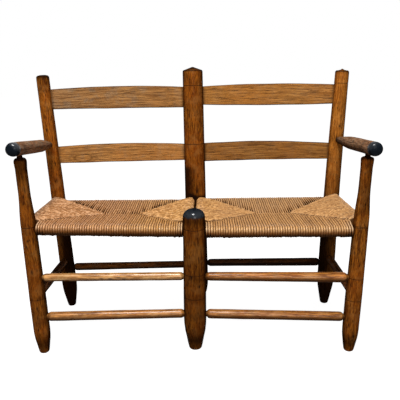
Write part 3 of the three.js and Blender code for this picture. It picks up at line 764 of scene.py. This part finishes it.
def waistOutline(piece):
    # Straight leg, soft waist over the seat, rounded head and the neck under the arm
    share = np.linspace(0.0, 1.0, 12)
    waist = mix(piece["seatDiameter"], piece["waistDiameter"], (1.0 - np.cos(np.pi * share)) / 2) / 2
    heights = mix(piece["waistStart"], piece["waistEnd"], share)
    neck, shoulder = piece["neckDiameter"] / 2, piece["shoulder"]
    headBase = shoulder - piece["headRound"]
    head = domeOutline(piece["headDiameter"] / 2 - neck, headBase, piece["headRound"], 8)
    top = shoulder + piece["neckRise"]
    return [(piece["lowDiameter"] / 2, piece["straightHeight"]), *zip(waist, heights),
            (piece["waistDiameter"] / 2, headBase - piece["headLength"]),
            *[(neck + out, up) for out, up in head], (neck, top), (0.0, top)]


def postOutline(piece):
    # From the sole up to the full diameter, and on to the post's own kind of head
    foot, low = piece["footDiameter"] / 2, piece["lowDiameter"] / 2
    swell = [(mix(foot, low, out), piece["footHeight"] * up) for up, out in footSwell]
    start = [(0.0, -0.001), (foot - 0.003, -0.001), (foot, 0.003), *swell]
    if "waistStart" in piece:
        return start + waistOutline(piece)
    head, height = piece["headDiameter"] / 2, piece["headHeight"]
    if "domeHeight" in piece:
        return start + domeOutline(head, height, piece["domeHeight"], piece["domeSteps"])
    top = height + piece["coneHeight"]
    if "nibHeight" not in piece:
        return start + [(head, height), (0.0, top)]
    nib, tip = piece["nibDiameter"] / 2, top + piece["nibHeight"]
    return start + [(head, height), (nib, top), (nib, tip), (0.0, tip)]


def makePost(piece):
    # The outline of a post is turned about its leaning axis, from the floor up
    def marks(length, angle, shape, grid):
        # Distance to the painted top, soft soil at foot, joints and top, painted shade down both sides
        # and on the rear legs, and dark scribed lines and knots, each a bell curve at its own height and
        # angle
        darkTop, darkStart, softness = piece["darkTop"]
        footSoil, footPlace, footReach = piece["footSoil"]
        jointSoil, jointReach = piece["jointSoil"]
        edgeSoilAndShade, edgeGap, edgeReach = piece["edgeSoilAndShade"]
        shoulder, paint, edge = piece["shoulder"], piece["paintHeight"], piece["stainEdge"]
        soil = piece["shade"] + (1.0 - piece["shade"]) * footSoil * bell(length, footPlace, footReach)
        # Rear legs are painted darker under the seat, partly as a dark finish and partly as painted shade,
        # and the side given by litSide is painted lighter as lit
        lit = rise(piece["litSide"] * np.cos(angle), -0.7, 0.95) * rise(length, 0.09, 0.15)
        legSoilAndShade = piece["darkLow"] - piece["litSideLightening"] * lit * (piece["darkLow"] > 0.0)
        soil = soil + legSoilAndShade * (1.0 - rise(length, *piece["legTop"]))
        soil = soil + darkTop * rise(length, darkStart, darkStart + softness)
        # Darker from just under the shoulder into the neck, under the arm
        soil = soil + piece["neckDarkening"] * rise(length, shoulder - 0.010, shoulder)
        # Both sides of every post, where it turns away from the front, are painted darker as shade
        soil = soil + piece["sideShade"] * rise(np.abs(np.cos(angle)), 0.74, 0.98)
        # Darker about the seat's height
        soil = soil + piece["rushDarkening"] * bell(length, *piece["rushPlace"])
        # Stains, and patches of painted shade, each on one side between two heights
        for low, high, toward, share in piece["stainsAndShade"]:
            within = rise(length, low, low + edge) * rise(-length, -high, -high + edge)
            soil = soil + share * within * rise(np.cos(angle - toward), -0.2, 1.0)
        soil = soil + sum(jointSoil * bell(length, joint, jointReach) for joint in piece["joints"])
        lines = sum(bell(length, place, width) for place, depth, width in piece["grooves"])
        dark = piece["grooveDark"] * lines + knotMarks(piece["knots"], length, angle, shape)
        # Hands have polished the front of a painted dome, and soil gathers under its edge
        handled = bell(length, paint + 0.009, 0.008) * rise(-np.sin(angle), 0.1, 0.9)
        soil = soil + edgeSoilAndShade * bell(length, paint - edgeGap, edgeReach)
        return (length - paint) * piece["paintFade"], soil, dark, handled

    turnedPiece(piece, postOutline(piece), drawingOrigin + [*piece["foot"], 0.0], [*piece["lean"], 1.0],
                postWood, "post_wood", marks)


for post in posts.values():
    makePost({**postSize, **post})
print("posts made:", len(posts))


# Arms

armSize = {
    "diameter": 0.039, "domeLength": 0.017, "neckDiameter": 0.019, "sunk": 0.004,
    "paintEdge": 0.0215, "edgeWave": 0.0012,
    "rearSoil": (0.5, 0.035),  # share and reach
    "postSoil": (0.35, 0.016),
    "uneven": 0.02, "step": 0.0015,
}
arms = [
    {"name": "armLeft", "seed": 61, "from": "frontLeft", "to": "rearLeft", "frontHeight": 0.617,
     "rearHeight": 0.589, "overhang": 0.061, "taper": 0.105, "taperPower": 1.15, "underShade": 0.05,
     "inner": 1.0, "handled": 1.0},
    {"name": "armRight", "seed": 66, "from": "frontRight", "to": "rearRight", "frontHeight": 0.608,
     "rearHeight": 0.5935, "overhang": 0.069, "taper": 0.160, "taperPower": 1.6, "underShade": 0.95,
     "inner": -1.0, "handled": 0.5},
]


def makeArm(piece):
    # From the domed front end along a straight body, then in by a power curve to the neck
    over = axisPoint(piece["from"], piece["frontHeight"])
    end = axisPoint(piece["to"], piece["rearHeight"])
    axis = (end - over) / np.linalg.norm(end - over)
    start = over - axis * piece["overhang"]
    face = np.linalg.norm(end - start) - postRadius(piece["to"], piece["rearHeight"])
    radius, neck = piece["diameter"] / 2, piece["neckDiameter"] / 2
    share = np.linspace(0.0, 1.0, 20)
    taper = neck + (radius - neck) * (1.0 - share ** piece["taperPower"])
    dome = domeOutline(radius, piece["domeLength"], -piece["domeLength"], 18)[::-1]
    outline = [*dome, *zip(taper, face - piece["taper"] * (1.0 - share)), (neck, face + piece["sunk"]),
               (0.0, face + piece["sunk"])]

    def marks(length, angle, shape, grid):
        # Paint to a wavy edge; painted shade underneath; soil at the rear end and over the front post;
        # hands have polished the upper inner side
        painted = piece["paintEdge"] - length + piece["edgeWave"] * np.sin(angle + 1.0)
        off = (grid - start - length[..., None] * axis) / radius
        handled = rise(0.75 * off[..., 2] + 0.60 * piece["inner"] * off[..., 0], 0.25, 0.80)
        soil = piece["underShade"] * rise(over[2] - grid[..., 2], -0.004, 0.022)
        rearSoil, rearReach = piece["rearSoil"]
        postSoil, postReach = piece["postSoil"]
        soil = soil + rearSoil * rise(length, face - rearReach, face)
        soil = soil + postSoil * bell(length, piece["overhang"], postReach)
        return painted, np.clip(soil, 0.0, 0.9), 0.0, piece["handled"] * handled

    turnedPiece(piece, outline, start, axis, armWood, "arm_wood", marks)


for arm in arms:
    makeArm({**armSize, **arm})
print("arms made")


# Rungs: heights and diameters at both ends, neck at the post, length of the end taper

rungSize = {"sunk": 0.004, "neckLength": 0.006, "sides": 32, "uneven": 0.03, "step": 0.0025,
            "rounding": 0.0025, "frontEndSoil": 0.65, "endSoil": 1.3, "endReach": 0.005,
            "underShade": 0.95, "underShadeFrom": -0.45, "shade": 0.0, "knots": []}
rungs = [
    {"name": "frontLowerRungLeft", "seed": 71, "from": "frontLeft", "to": "frontCenter",
     "heights": (0.114, 0.1152), "diameters": (0.0275, 0.0265), "neck": 0.020, "endTaper": 0.006,
     "underShadeFrom": -0.65, "weathered": 0.35},
    {"name": "frontLowerRungRight", "seed": 72, "from": "frontCenter", "to": "frontRight",
     "heights": (0.1139, 0.1073), "diameters": (0.0285, 0.028), "neck": 0.016, "endTaper": 0.010,
     "underShadeFrom": -0.60, "shade": 0.16},
    {"name": "frontUpperRungLeft", "seed": 73, "from": "frontLeft", "to": "frontCenter",
     "heights": (0.238, 0.2354), "diameters": (0.0235, 0.0245), "neck": 0.017, "endTaper": 0.006,
     "underShadeFrom": -0.20, "weathered": 1.0,
     "knots": [(0.196, 4.75, 0.002, 0.006), (0.222, 4.9, 0.003, 0.008), (0.246, 4.6, 0.002, 0.010),
               (0.262, 4.95, 0.003, 0.007)]},
    {"name": "frontUpperRungRight", "seed": 74, "from": "frontCenter", "to": "frontRight",
     "heights": (0.2348, 0.230), "diameters": (0.0258, 0.0305), "neck": 0.018, "endTaper": 0.014,
     "underShadeFrom": -0.60, "shade": 0.06},
    {"name": "rearRungLeft", "seed": 75, "from": "rearLeft", "to": "rearCenter",
     "heights": (0.1465, 0.1528), "diameters": (0.0265, 0.0245), "neck": 0.018, "endTaper": 0.008},
    {"name": "rearRungRight", "seed": 76, "from": "rearCenter", "to": "rearRight", "shade": 0.70,
     "heights": (0.158, 0.156), "diameters": (0.026, 0.0285), "neck": 0.017, "endTaper": 0.010},
    {"name": "sideRungLeft", "seed": 77, "from": "frontLeft", "to": "rearLeft", "shade": 0.30,
     "heights": (0.1815, 0.174), "diameters": (0.0265, 0.0265), "neck": 0.018, "endTaper": 0.009},
    {"name": "sideRungCenter", "seed": 78, "from": "frontCenter", "to": "rearCenter",
     "heights": (0.176, 0.178), "diameters": (0.026, 0.026), "neck": 0.018, "endTaper": 0.009},
    {"name": "sideRungRight", "seed": 79, "from": "frontRight", "to": "rearRight",
     "heights": (0.1755, 0.1795), "diameters": (0.0255, 0.0255), "neck": 0.018, "endTaper": 0.009},
]


def makeRung(piece):
    # A bar from post to post, sunk a little into both, with a rounded shoulder at each end
    start, end = (axisPoint(piece[key], height) for key, height in zip(("from", "to"), piece["heights"]))
    length = np.linalg.norm(end - start)
    near = postRadius(piece["from"], piece["heights"][0]) - piece["sunk"]
    far = length - postRadius(piece["to"], piece["heights"][1]) + piece["sunk"]
    neck, taper, neckLength = piece["neck"] / 2, piece["endTaper"], piece["neckLength"]
    share = np.linspace(0.0, 1.0, 7)
    swell = np.sqrt(1.0 - (1.0 - share) ** 2)
    nearRadius, farRadius = (diameter / 2 for diameter in piece["diameters"])
    outline = [
        (0.0, near), (neck, near),
        *zip(mix(neck, nearRadius, swell), near + neckLength + taper * share),
        *zip(mix(neck, farRadius, swell[::-1]), far - neckLength - taper * share[::-1]),
        (neck, far), (0.0, far),
    ]
    front = piece["name"].startswith("front")

    def marks(along, angle, shape, grid):
        # Soil gathers at both ends; underneath, where the level is one, and along the top edge the rung is
        # painted darker as shade
        reach, endSoil = piece["endReach"], piece["frontEndSoil" if front else "endSoil"]
        ends = endSoil * (bell(along, near + reach, reach) + bell(along, far - reach, reach))
        level = (start[2] + (end[2] - start[2]) * along / length - grid[..., 2]) / shape
        under = piece["underShade"] * rise(level, piece["underShadeFrom"], piece["underShadeFrom"] + 1.1)
        soil = 0.9 * (ends + piece["shade"]) + under + 0.30 * rise(-level, 0.80, 1.0)
        dark = knotMarks(piece["knots"], along, angle, shape)
        return -1.0, soil, np.clip(dark, 0.0, 0.8), 0.0

    material, slot = (frontRungWood, "front_rung_wood") if front else (darkRungWood, "dark_rung_wood")
    turnedPiece(piece, outline, start, end - start, material, slot, marks)


for rung in rungs:
    makeRung({**rungSize, **rung})
print("rungs made:", len(rungs))


# Slats: heights of the bottom edge and widths at both ends, arch of the top edge, sag of the
# bottom edge. Knots: shares along and up, length, height, darkness of the rings and the core.

slatSize = {"thickness": 0.009, "edgeRound": 0.0028, "bow": 0.005, "sunk": 0.008, "steps": 150, "sag": 0.0,
            "shade": 0.0, "edgeSoilAndShade": 0.75, "lowShade": 0.25, "endSoil": (0.60, 0.005)}
slats = [
    {"name": "upperSlatLeft", "seed": 81, "from": "rearLeft", "to": "rearCenter",
     "heights": (0.707, 0.7075), "widths": (0.064, 0.0655), "arch": 0.008, "shade": 0.18,
     "weather": (1.0, 0.50), "knots": [(0.52, 0.62, 0.012, 0.0025, 0.45, 0.25)]},
    {"name": "upperSlatRight", "seed": 82, "from": "rearCenter", "to": "rearRight",
     "heights": (0.716, 0.713), "widths": (0.0568, 0.0608), "arch": 0.0075, "sag": 0.0036, "shade": 0.16,
     "weather": (0.0, 0.15), "knots": [(0.84, 0.60, 0.012, 0.0022, 0.45, 0.35)]},
    {"name": "lowerSlatLeft", "seed": 83, "from": "rearLeft", "to": "rearCenter",
     "heights": (0.5235, 0.530), "widths": (0.056, 0.0535), "arch": 0.008,
     "weather": (0.40, 0.45), "knots": [(0.200, 0.27, 0.030, 0.0105, 0.45, 0.05)]},
    {"name": "lowerSlatRight", "seed": 84, "from": "rearCenter", "to": "rearRight",
     "heights": (0.524, 0.528), "widths": (0.0608, 0.052), "arch": 0.0085, "sag": -0.0012, "shade": 0.36,
     "weather": (0.20, 0.10), "knots": [(0.55, 0.55, 0.016, 0.0022, 0.45, 0.25)]},
]


def makeSlat(piece):
    # A rounded oblong section carried from post to post; its top edge is arched and the whole
    # board bows back by the same parabola, which is one in the middle and zero at the posts
    start, end = (axisPoint(piece[key], height + width / 2)
                  for key, height, width in zip(("from", "to"), piece["heights"], piece["widths"]))
    near = postRadius(piece["from"], piece["heights"][0]) - piece["sunk"]
    far = end[0] - start[0] - postRadius(piece["to"], piece["heights"][1]) + piece["sunk"]
    run = np.linspace(near, far, piece["steps"])
    share = run / (end[0] - start[0])
    arc = 4.0 * share * (1.0 - share)
    half, tall = piece["thickness"] / 2, np.mean(piece["widths"]) / 2
    # The section is walked round at an even step; corners become quarter circles
    flatX, flatZ, curve = half - piece["edgeRound"], tall - piece["edgeRound"], np.linspace(0.0, np.pi / 2, 6)
    quarter = np.column_stack([np.cos(curve), np.sin(curve)]) * piece["edgeRound"]
    sideStep = np.linspace(-flatZ, flatZ, 22)[1:-1]
    side = np.column_stack([np.full(20, half), sideStep])
    upper = np.concatenate([side, quarter + [flatX, flatZ], quarter[::-1] * [-1, 1] + [-flatX, flatZ]])
    outer = np.concatenate([upper, -upper])  # the other half is the same, turned round
    deep, high = outer[:, 0], outer[:, 1] / tall
    bottom = np.interp(share, [0, 1], piece["heights"]) - piece["sag"] * arc
    width = np.interp(share, [0, 1], piece["widths"]) + (piece["arch"] + piece["sag"]) * arc
    back = np.interp(share, [0, 1], [start[1], end[1]]) + piece["bow"] * arc
    length, level = np.meshgrid(run, high, indexing="ij")
    rough = unevenness(level * 2.0, length, piece["seed"])
    height = bottom[:, None] + width[:, None] * (level + 1.0) / 2 + 0.0006 * rough
    grid = np.stack([start[0] + length, deep * (1.0 + 0.05 * rough) + back[:, None], height], -1)
    rng = np.random.default_rng(piece["seed"] + 50)
    grain = vectors(length.shape, deep, level * tall, length) + rng.uniform(0.0, 3.0, 3)
    # The figure bends round each knot, so the grain is pushed up over it and down under it
    dark = np.zeros_like(length)
    for along, up, sizeAlong, sizeUp, rim, core in piece["knots"]:
        dx = (length - near) / (far - near) - along
        dz = (level + 1.0) / 2 - up
        rings = np.hypot(dx * (far - near) / sizeAlong, dz * 2 * tall / sizeUp)
        grain[..., 1] += 0.006 * np.sign(dz) * np.exp(-rings ** 2 / 4)
        dark += rim * (bell(rings, 1.0, 0.15) + 0.5 * bell(rings, 1.6, 0.18)) + core * np.exp(-rings ** 2)
    weather = np.interp(share, [0.1, 0.9], piece["weather"])[:, None] * (1.0 + 0.3 * rough)
    # The rounded top and bottom edges and the lower part are painted darker as shade; soil gathers where the
    # slat enters the posts
    soil = piece["shade"] + piece["edgeSoilAndShade"] * rise(np.abs(level), 0.90, 1.0)
    soil = soil + piece["lowShade"] * rise(-level, 0.75, 1.0)
    endSoil, endReach = piece["endSoil"]
    for place in (near + piece["sunk"], far - piece["sunk"]):  # where it enters the posts
        soil = soil + endSoil * bell(length, place, endReach)
    addPiece(piece["name"], *closedTube(grid, {
        "grain": grain,
        "marks": vectors(length.shape, -1.0, np.clip(soil, 0.0, 0.9), np.clip(dark, 0.0, 0.8)),
        "weather": vectors(length.shape, weather, 0.0, 0.0),
    }), slatWood, "slat_wood")


for slat in slats:
    makeSlat({**slatSize, **slat})
print("slats made:", len(slats))


# Rush seats: each is four closed wedges of ridged strands, one wound over each rail, which
# meet under one another on the two mitres and on the line between their tips

rushSize = {
    "roll": 0.0175, "middleThickness": 0.026, "dip": 0.005,
    "strandDepth": 0.0040, "wiggle": 0.00045,
    "sag": 0.0006, "sagLimit": 0.0016, "slackLength": 0.03,
    "wanderLength": 0.03, "wanderWave": 70,
    "widthSpread": 0.06,  # shares of a strand's width and reach, and metres of its end and thickness
    "reachSpread": 0.012, "endSpread": 0.0009, "thicknessSpread": 0.0009, "leastReach": 0.0008,
    "beadPlace": 0.0062, "beadLength": 0.0028,
    "holeShare": 0.6,  # of the rear strands
    "holeThin": 0.55, "holeLength": 0.044,
    "valleyLength": 0.030, "hollowLength": 0.042,
    "looseEnds": (0.9, 0.5, 0.25),  # the last strands before a post
    "looseLength": 0.02, "bleachPlace": 0.0055, "bleachLength": 0.0035,
    "rollLength": 0.012,
    "highlightAngle": (42.0, 9.0, 22.0),  # degrees up the roll, their spread and reach
}
# What differs from rail to rail. Ends: its posts, by their place in a seat's list of posts. Gap:
# from a post to the first strand. Lap: how far strands run past the mitre. The rest is how they
# are tucked under there, lifted, given painted shade and given a painted highlight.
crossRail = {"gap": 0.0004, "lap": 0.0035, "tuck": 0.0046, "tuckLength": 0.0065, "lift": 0.0,
             "bead": 0.0, "endShade": 0.55, "endLength": 0.0035, "rubHighlight": 0.35, "waves": 0.35}
sideRail = {"gap": 0.0012, "lap": 0.0005, "tuck": 0.0046, "tuckLength": 0.0032, "lift": 0.0016,
            "bead": 0.0013, "endShade": 0.30, "endLength": 0.0014, "rubHighlight": 0.35, "waves": 1.0}
rails = {
    "front": {**crossRail, "ends": (0, 1), "tuck": 0.00253, "endShade": 0.10, "rubHighlight": 1.0},
    "rear": {**crossRail, "ends": (2, 3)},
    "left": {**sideRail, "ends": (0, 2), "side": 0},
    "right": {**sideRail, "ends": (1, 3), "side": 1},
}
# Offsets move the side rails from the posts' axes; reach is how far the side wedges come in.
# Front, rear, left and right are the heights of each rail's ends.
# Roll shade and hole depth set how dark the shade painted under the rolls and in the rear holes is
seats = [
    {"name": "rushSeatLeft", "seed": 101, "posts": ("frontLeft", "frontCenter", "rearLeft", "rearCenter"),
     "offsets": (0.0, -0.020), "front": (0.385, 0.374), "rear": (0.3765, 0.3745), "left": (0.396, 0.395),
     "right": (0.389, 0.389), "reach": (0.193, 0.162), "rollShade": (-0.88, 0.55), "rearPale": 0.13,
     "holeDepth": 4.0, "strands": {"front": 60, "rear": 58, "left": 42, "right": 40}},
    {"name": "rushSeatRight", "seed": 131, "posts": ("frontCenter", "frontRight", "rearCenter", "rearRight"),
     "offsets": (0.020, 0.0), "front": (0.372, 0.370), "rear": (0.378, 0.3775), "left": (0.389, 0.389),
     "right": (0.394, 0.395), "reach": (0.178, 0.180), "rollShade": (-0.80, 0.65), "rearPale": 0.19,
     "holeDepth": 2.2, "strands": {"front": 58, "rear": 57, "left": 40, "right": 42}},
]
# A strand's walk: the share of its way in, and the turn round the roll, 90 degrees on top
wayIn = np.concatenate([np.sin(np.linspace(np.pi / 2, 0.0, 15))[:-1] ** 0.9, np.zeros(15),
                        np.sin(np.linspace(0.0, np.pi / 2, 10))[1:]])
turn = np.radians(np.concatenate([np.full(14, 90.0), np.linspace(90.0, -90.0, 15), np.full(9, -90.0)]))
crown = np.array([-1.0, -0.82, -0.45, 0.0, 0.45, 0.82, 1.0])[:, None]  # places across a strand


def seatFrame(seat):
    # Rail corners on the ground plan, at the heights where the front and rear rails lie
    return [axisPoint(post, height)[:2] + [shift, 0.0] for post, height, shift in zip(
        seat["posts"], (*seat["front"], *seat["rear"]), seat["offsets"] * 2)]


def seatPlan(corners, u, v):
    # Four-cornered plan: u runs from the left rail to the right, v from the front rail to the rear
    u, v = u[..., None], v[..., None]
    return mix(mix(corners[0], corners[1], u), mix(corners[2], corners[3], u), v)


def seatLevel(seat, size, width, u, v):
    # Height of the middle layer and half of the rush's thickness, as the seat's solid has them
    u, v = np.clip(u, 0.0, 1.0), np.clip(v, 0.0, 1.0)
    leftShare, rightShare = u * width / seat["reach"][0], (1.0 - u) * width / seat["reach"][1]
    fromSide = np.minimum(np.minimum(leftShare, rightShare), 1.0)
    fromEdge = np.minimum(v, 1.0 - v) * 2.0
    side = np.where(leftShare < rightShare, mix(*seat["left"], v), mix(*seat["right"], v))
    frontEdge, rearEdge = mix(*seat["front"], u), mix(*seat["rear"], u)
    edge = np.where(v < 0.5, frontEdge, rearEdge)
    middle = (frontEdge + rearEdge) / 2 - size["dip"]
    corner, least = (side + edge) / 2, 1e-6
    onSide = mix(side, mix(corner, middle, fromEdge), fromSide / np.maximum(fromEdge, least))
    turned = np.maximum(fromSide, least)
    onEdge = mix(edge, mix(corner, middle, turned), np.minimum(fromEdge / turned, 1.0))
    level = np.where(fromSide < fromEdge, onSide, onEdge)
    return level, mix(size["roll"], size["middleThickness"] / 2, np.minimum(fromSide, fromEdge))


def strandLayout(seat, size, rail, width, depth, rng):
    # Strands lie side by side along the rail, from post to post. Returned are the edges between
    # them, how far in each one goes, and one where it ends on a mitre, zero on the middle line.
    row, across, each = rails[rail], rail in ("front", "rear"), (seat["strands"][rail], 1, 1)
    span, offsets = width if across else depth, np.abs(seat["offsets"])
    radii = np.array([postRadius(seat["posts"][end], height) for end, height in zip(row["ends"], seat[rail])])
    if across:  # they start where the post stops, seen from the front
        stops = radii - offsets + row["gap"]
    else:
        stops = np.sqrt(radii ** 2 - offsets[row["side"]] ** 2) + row["gap"]
    widths = 1.0 + size["widthSpread"] * rng.standard_normal(each).clip(-1.6, 1.6)
    edges = np.concatenate([np.zeros((1, 1, 1)), np.cumsum(widths, axis=0)])
    edges = stops[0] + (span - stops[1] - stops[0]) * edges / edges[-1]
    middle, onMitre = (edges[:-1] + edges[1:]) / 2, np.ones(each)
    if across:
        toTip = np.minimum(middle / seat["reach"][0], (width - middle) / seat["reach"][1])
        inner = np.minimum(toTip, 1.0) * depth / 2
        onMitre = 1.0 - rise(toTip, 0.86, 1.0)
    else:
        inner = np.minimum(middle, span - middle) / (depth / 2) * seat["reach"][row["side"]]
    inner = (inner + row["lap"]) * (1.0 + size["reachSpread"] * rng.standard_normal(each))
    inner = inner + size["endSpread"] * rng.standard_normal(each)
    return edges, np.maximum(inner, size["leastReach"]), onMitre


def rushZone(seat, size, corners, rail):
    # One wedge. Each strand is walked from its inner end over the top, round the roll and back
    # along the underside; its crown is a half ellipse.
    rng = np.random.default_rng(seat["seed"] + len(rail) * 7)
    row, across = rails[rail], rail in ("front", "rear")
    width, depth = np.linalg.norm(corners[3] - corners[2]), np.linalg.norm(corners[2] - corners[0])
    span, inward = (width, depth) if across else (depth, width)
    edges, inner, onMitre = strandLayout(seat, size, rail, width, depth, rng)
    each, shape = inner.shape, (len(inner), len(crown), len(wayIn))
    goneIn = inner * wayIn
    ending = inner - goneIn  # what is left to the inner end
    flat, up, side, onTop = wayIn > 0.0, np.sin(turn), np.abs(crown), turn > 0
    # Strand edges wander a little on the flat and lie true on the roll
    phase = rng.uniform(0, 2 * np.pi, edges.shape)
    wander = size["wiggle"] * np.clip(goneIn / size["wanderLength"], 0.0, 1.0)
    left, right = (edges[part] + wander * np.sin(goneIn * size["wanderWave"] + phase[part])
                   for part in (slice(0, -1), slice(1, None)))
    holes = np.zeros(each)
    if rail == "rear":
        holes = np.where(rng.random(each) < size["holeShare"], rng.uniform(0.7, 1.0, each), 0.15)
        holes = holes * bell(onMitre * inner, depth * 0.24, depth * 0.26)
    # Beside a hole a strand is drawn thin, and the valley opens; below they are packed tight
    thin = 1.0 - size["holeThin"] * holes * bell(ending, 0.0, size["holeLength"])
    along = mix(left, right, (crown * thin + 1.0) / 2)
    drop = size["strandDepth"] * (1.0 - np.sqrt(1.0 - (0.97 * crown) ** 2))
    drop = drop * (1.0 + (0.3 * onMitre + 1.5 * holes) * bell(ending, 0.0, size["valleyLength"]))
    drop = drop * (1.0 - 0.65 * rise(-up, 0.0, 0.9)) + rng.uniform(0.0, size["thicknessSpread"], each)
    radius = size["roll"] - drop
    s, t = along / span, (goneIn - np.where(flat, 0.0, radius * np.cos(turn))) / inward
    if rail in ("rear", "right"):
        t = 1.0 - t
    u, v = (s, t) if across else (t, s)
    level, half = seatLevel(seat, size, width, u, v)
    # Ends are tucked under, and side strands swell into a bead before they go down
    tucked = row["tuck"] * (0.25 + 0.75 * onMitre) * bell(ending, 0.0, row["tuckLength"])
    tucked = tucked - row["bead"] * bell(ending, size["beadPlace"], size["beadLength"])
    lift = row["lift"] * rise(goneIn, 0.0, size["wanderLength"])
    z = level + np.where(flat, np.sign(up) * (half - drop - tucked + lift), radius * up)
    slack = np.minimum(rng.exponential(size["sag"], each), size["sagLimit"])
    z = z - slack * rise(-up, 0.2, 1.0) * bell(goneIn, 0.0, size["slackLength"])
    grid = np.concatenate([seatPlan(corners, u, v), z[..., None]], -1)
    # The walk's own length and each strand's tone, for the material
    walked = np.cumsum(np.linalg.norm(np.diff(grid, axis=2, prepend=grid[:, :, :1]), axis=-1), axis=2)
    tone = np.clip(0.5 + 0.22 * rng.standard_normal(each), 0.0, 1.0)
    strand = vectors(shape, walked + rng.uniform(0, 1, each), crown, tone)
    # Shade in the valleys beside holes and mitres, and under the rolls
    hollow = (0.1 * onMitre + seat["holeDepth"] * holes) * side ** 2 * onTop
    hollow = hollow * bell(ending, 0.0, size["hollowLength"])
    hollow = hollow + row["endShade"] * onMitre * bell(ending, 0.0, row["endLength"]) * onTop
    hollow = hollow + 0.95 * rise(-up, *seat["rollShade"])
    if across:  # the last strands before a post are loose and pale
        nearPost = np.zeros(each)
        for place, share in enumerate(size["looseEnds"]):
            nearPost[[place, -1 - place]] = share
        # Painted shade between these loose strands
        hollow = hollow + 1.1 * nearPost * side ** 2
        pale = nearPost * bell(goneIn, 0.0, size["looseLength"]) * (up > -0.9)
    else:  # the beads along the mitres have bleached
        pale = 0.25 * bell(ending, size["bleachPlace"], size["bleachLength"]) * onTop
    if rail == "rear":
        pale = np.maximum(pale, seat["rearPale"])
        # Painted shade along the edges of the rear strands
        hollow = hollow + 0.30 * side ** 2 * onTop
    shade = vectors(shape, hollow, pale, (edges[:-1] + edges[1:]) / 2)
    # The front roll gets a painted highlight with its rub wear on its upper front face; away from the rolls
    # little wax shows
    rolling = bell(goneIn, 0.0, size["rollLength"])
    highlightAngle, highlightSpread, highlightReach = size["highlightAngle"]
    rubHighlight = bell(np.degrees(turn), highlightAngle + highlightSpread * rng.standard_normal(each), highlightReach)
    rubHighlight = row["rubHighlight"] * rolling * rubHighlight * rng.uniform(0.35, 1.0, each)
    wear = vectors(shape, rubHighlight, 0.10 + 0.90 * rolling, row["waves"])
    grids = [values.reshape(-1, len(wayIn), 3) for values in (grid, strand, shade, wear)]
    if rail in ("front", "right"):  # so that the faces of every wedge point out
        grids = [values[:, ::-1] for values in grids]
    return closedTube(grids[0], {"strand": grids[1], "shade": grids[2], "wear": grids[3]})


def makeSeat(seat, size):
    # The four wedges become one mesh: each one's corners are counted on from the last one's
    corners = seatFrame(seat)
    wedges = [rushZone(seat, size, corners, rail) for rail in rails]
    counts = np.cumsum([0] + [len(wedge[0]) for wedge in wedges])
    quads, triangles = (np.concatenate([wedge[part] + count for wedge, count in zip(wedges, counts)])
                        for part in (1, 2))
    fields = {name: np.concatenate([wedge[3][name] for wedge in wedges]) for name in wedges[0][3]}
    piece = addPiece(seat["name"], np.concatenate([wedge[0] for wedge in wedges]), quads, triangles, fields,
                     rushMaterial, "rush")
    for side in ("front", "rear", "outer", "inner"):
        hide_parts(f"{side}_seat_rail_{nodeName(seat['name']).split('_')[-1]}")
    print(seat["name"], "faces:", len(piece.data.polygons))


for seat in seats:
    makeSeat(seat, rushSize)
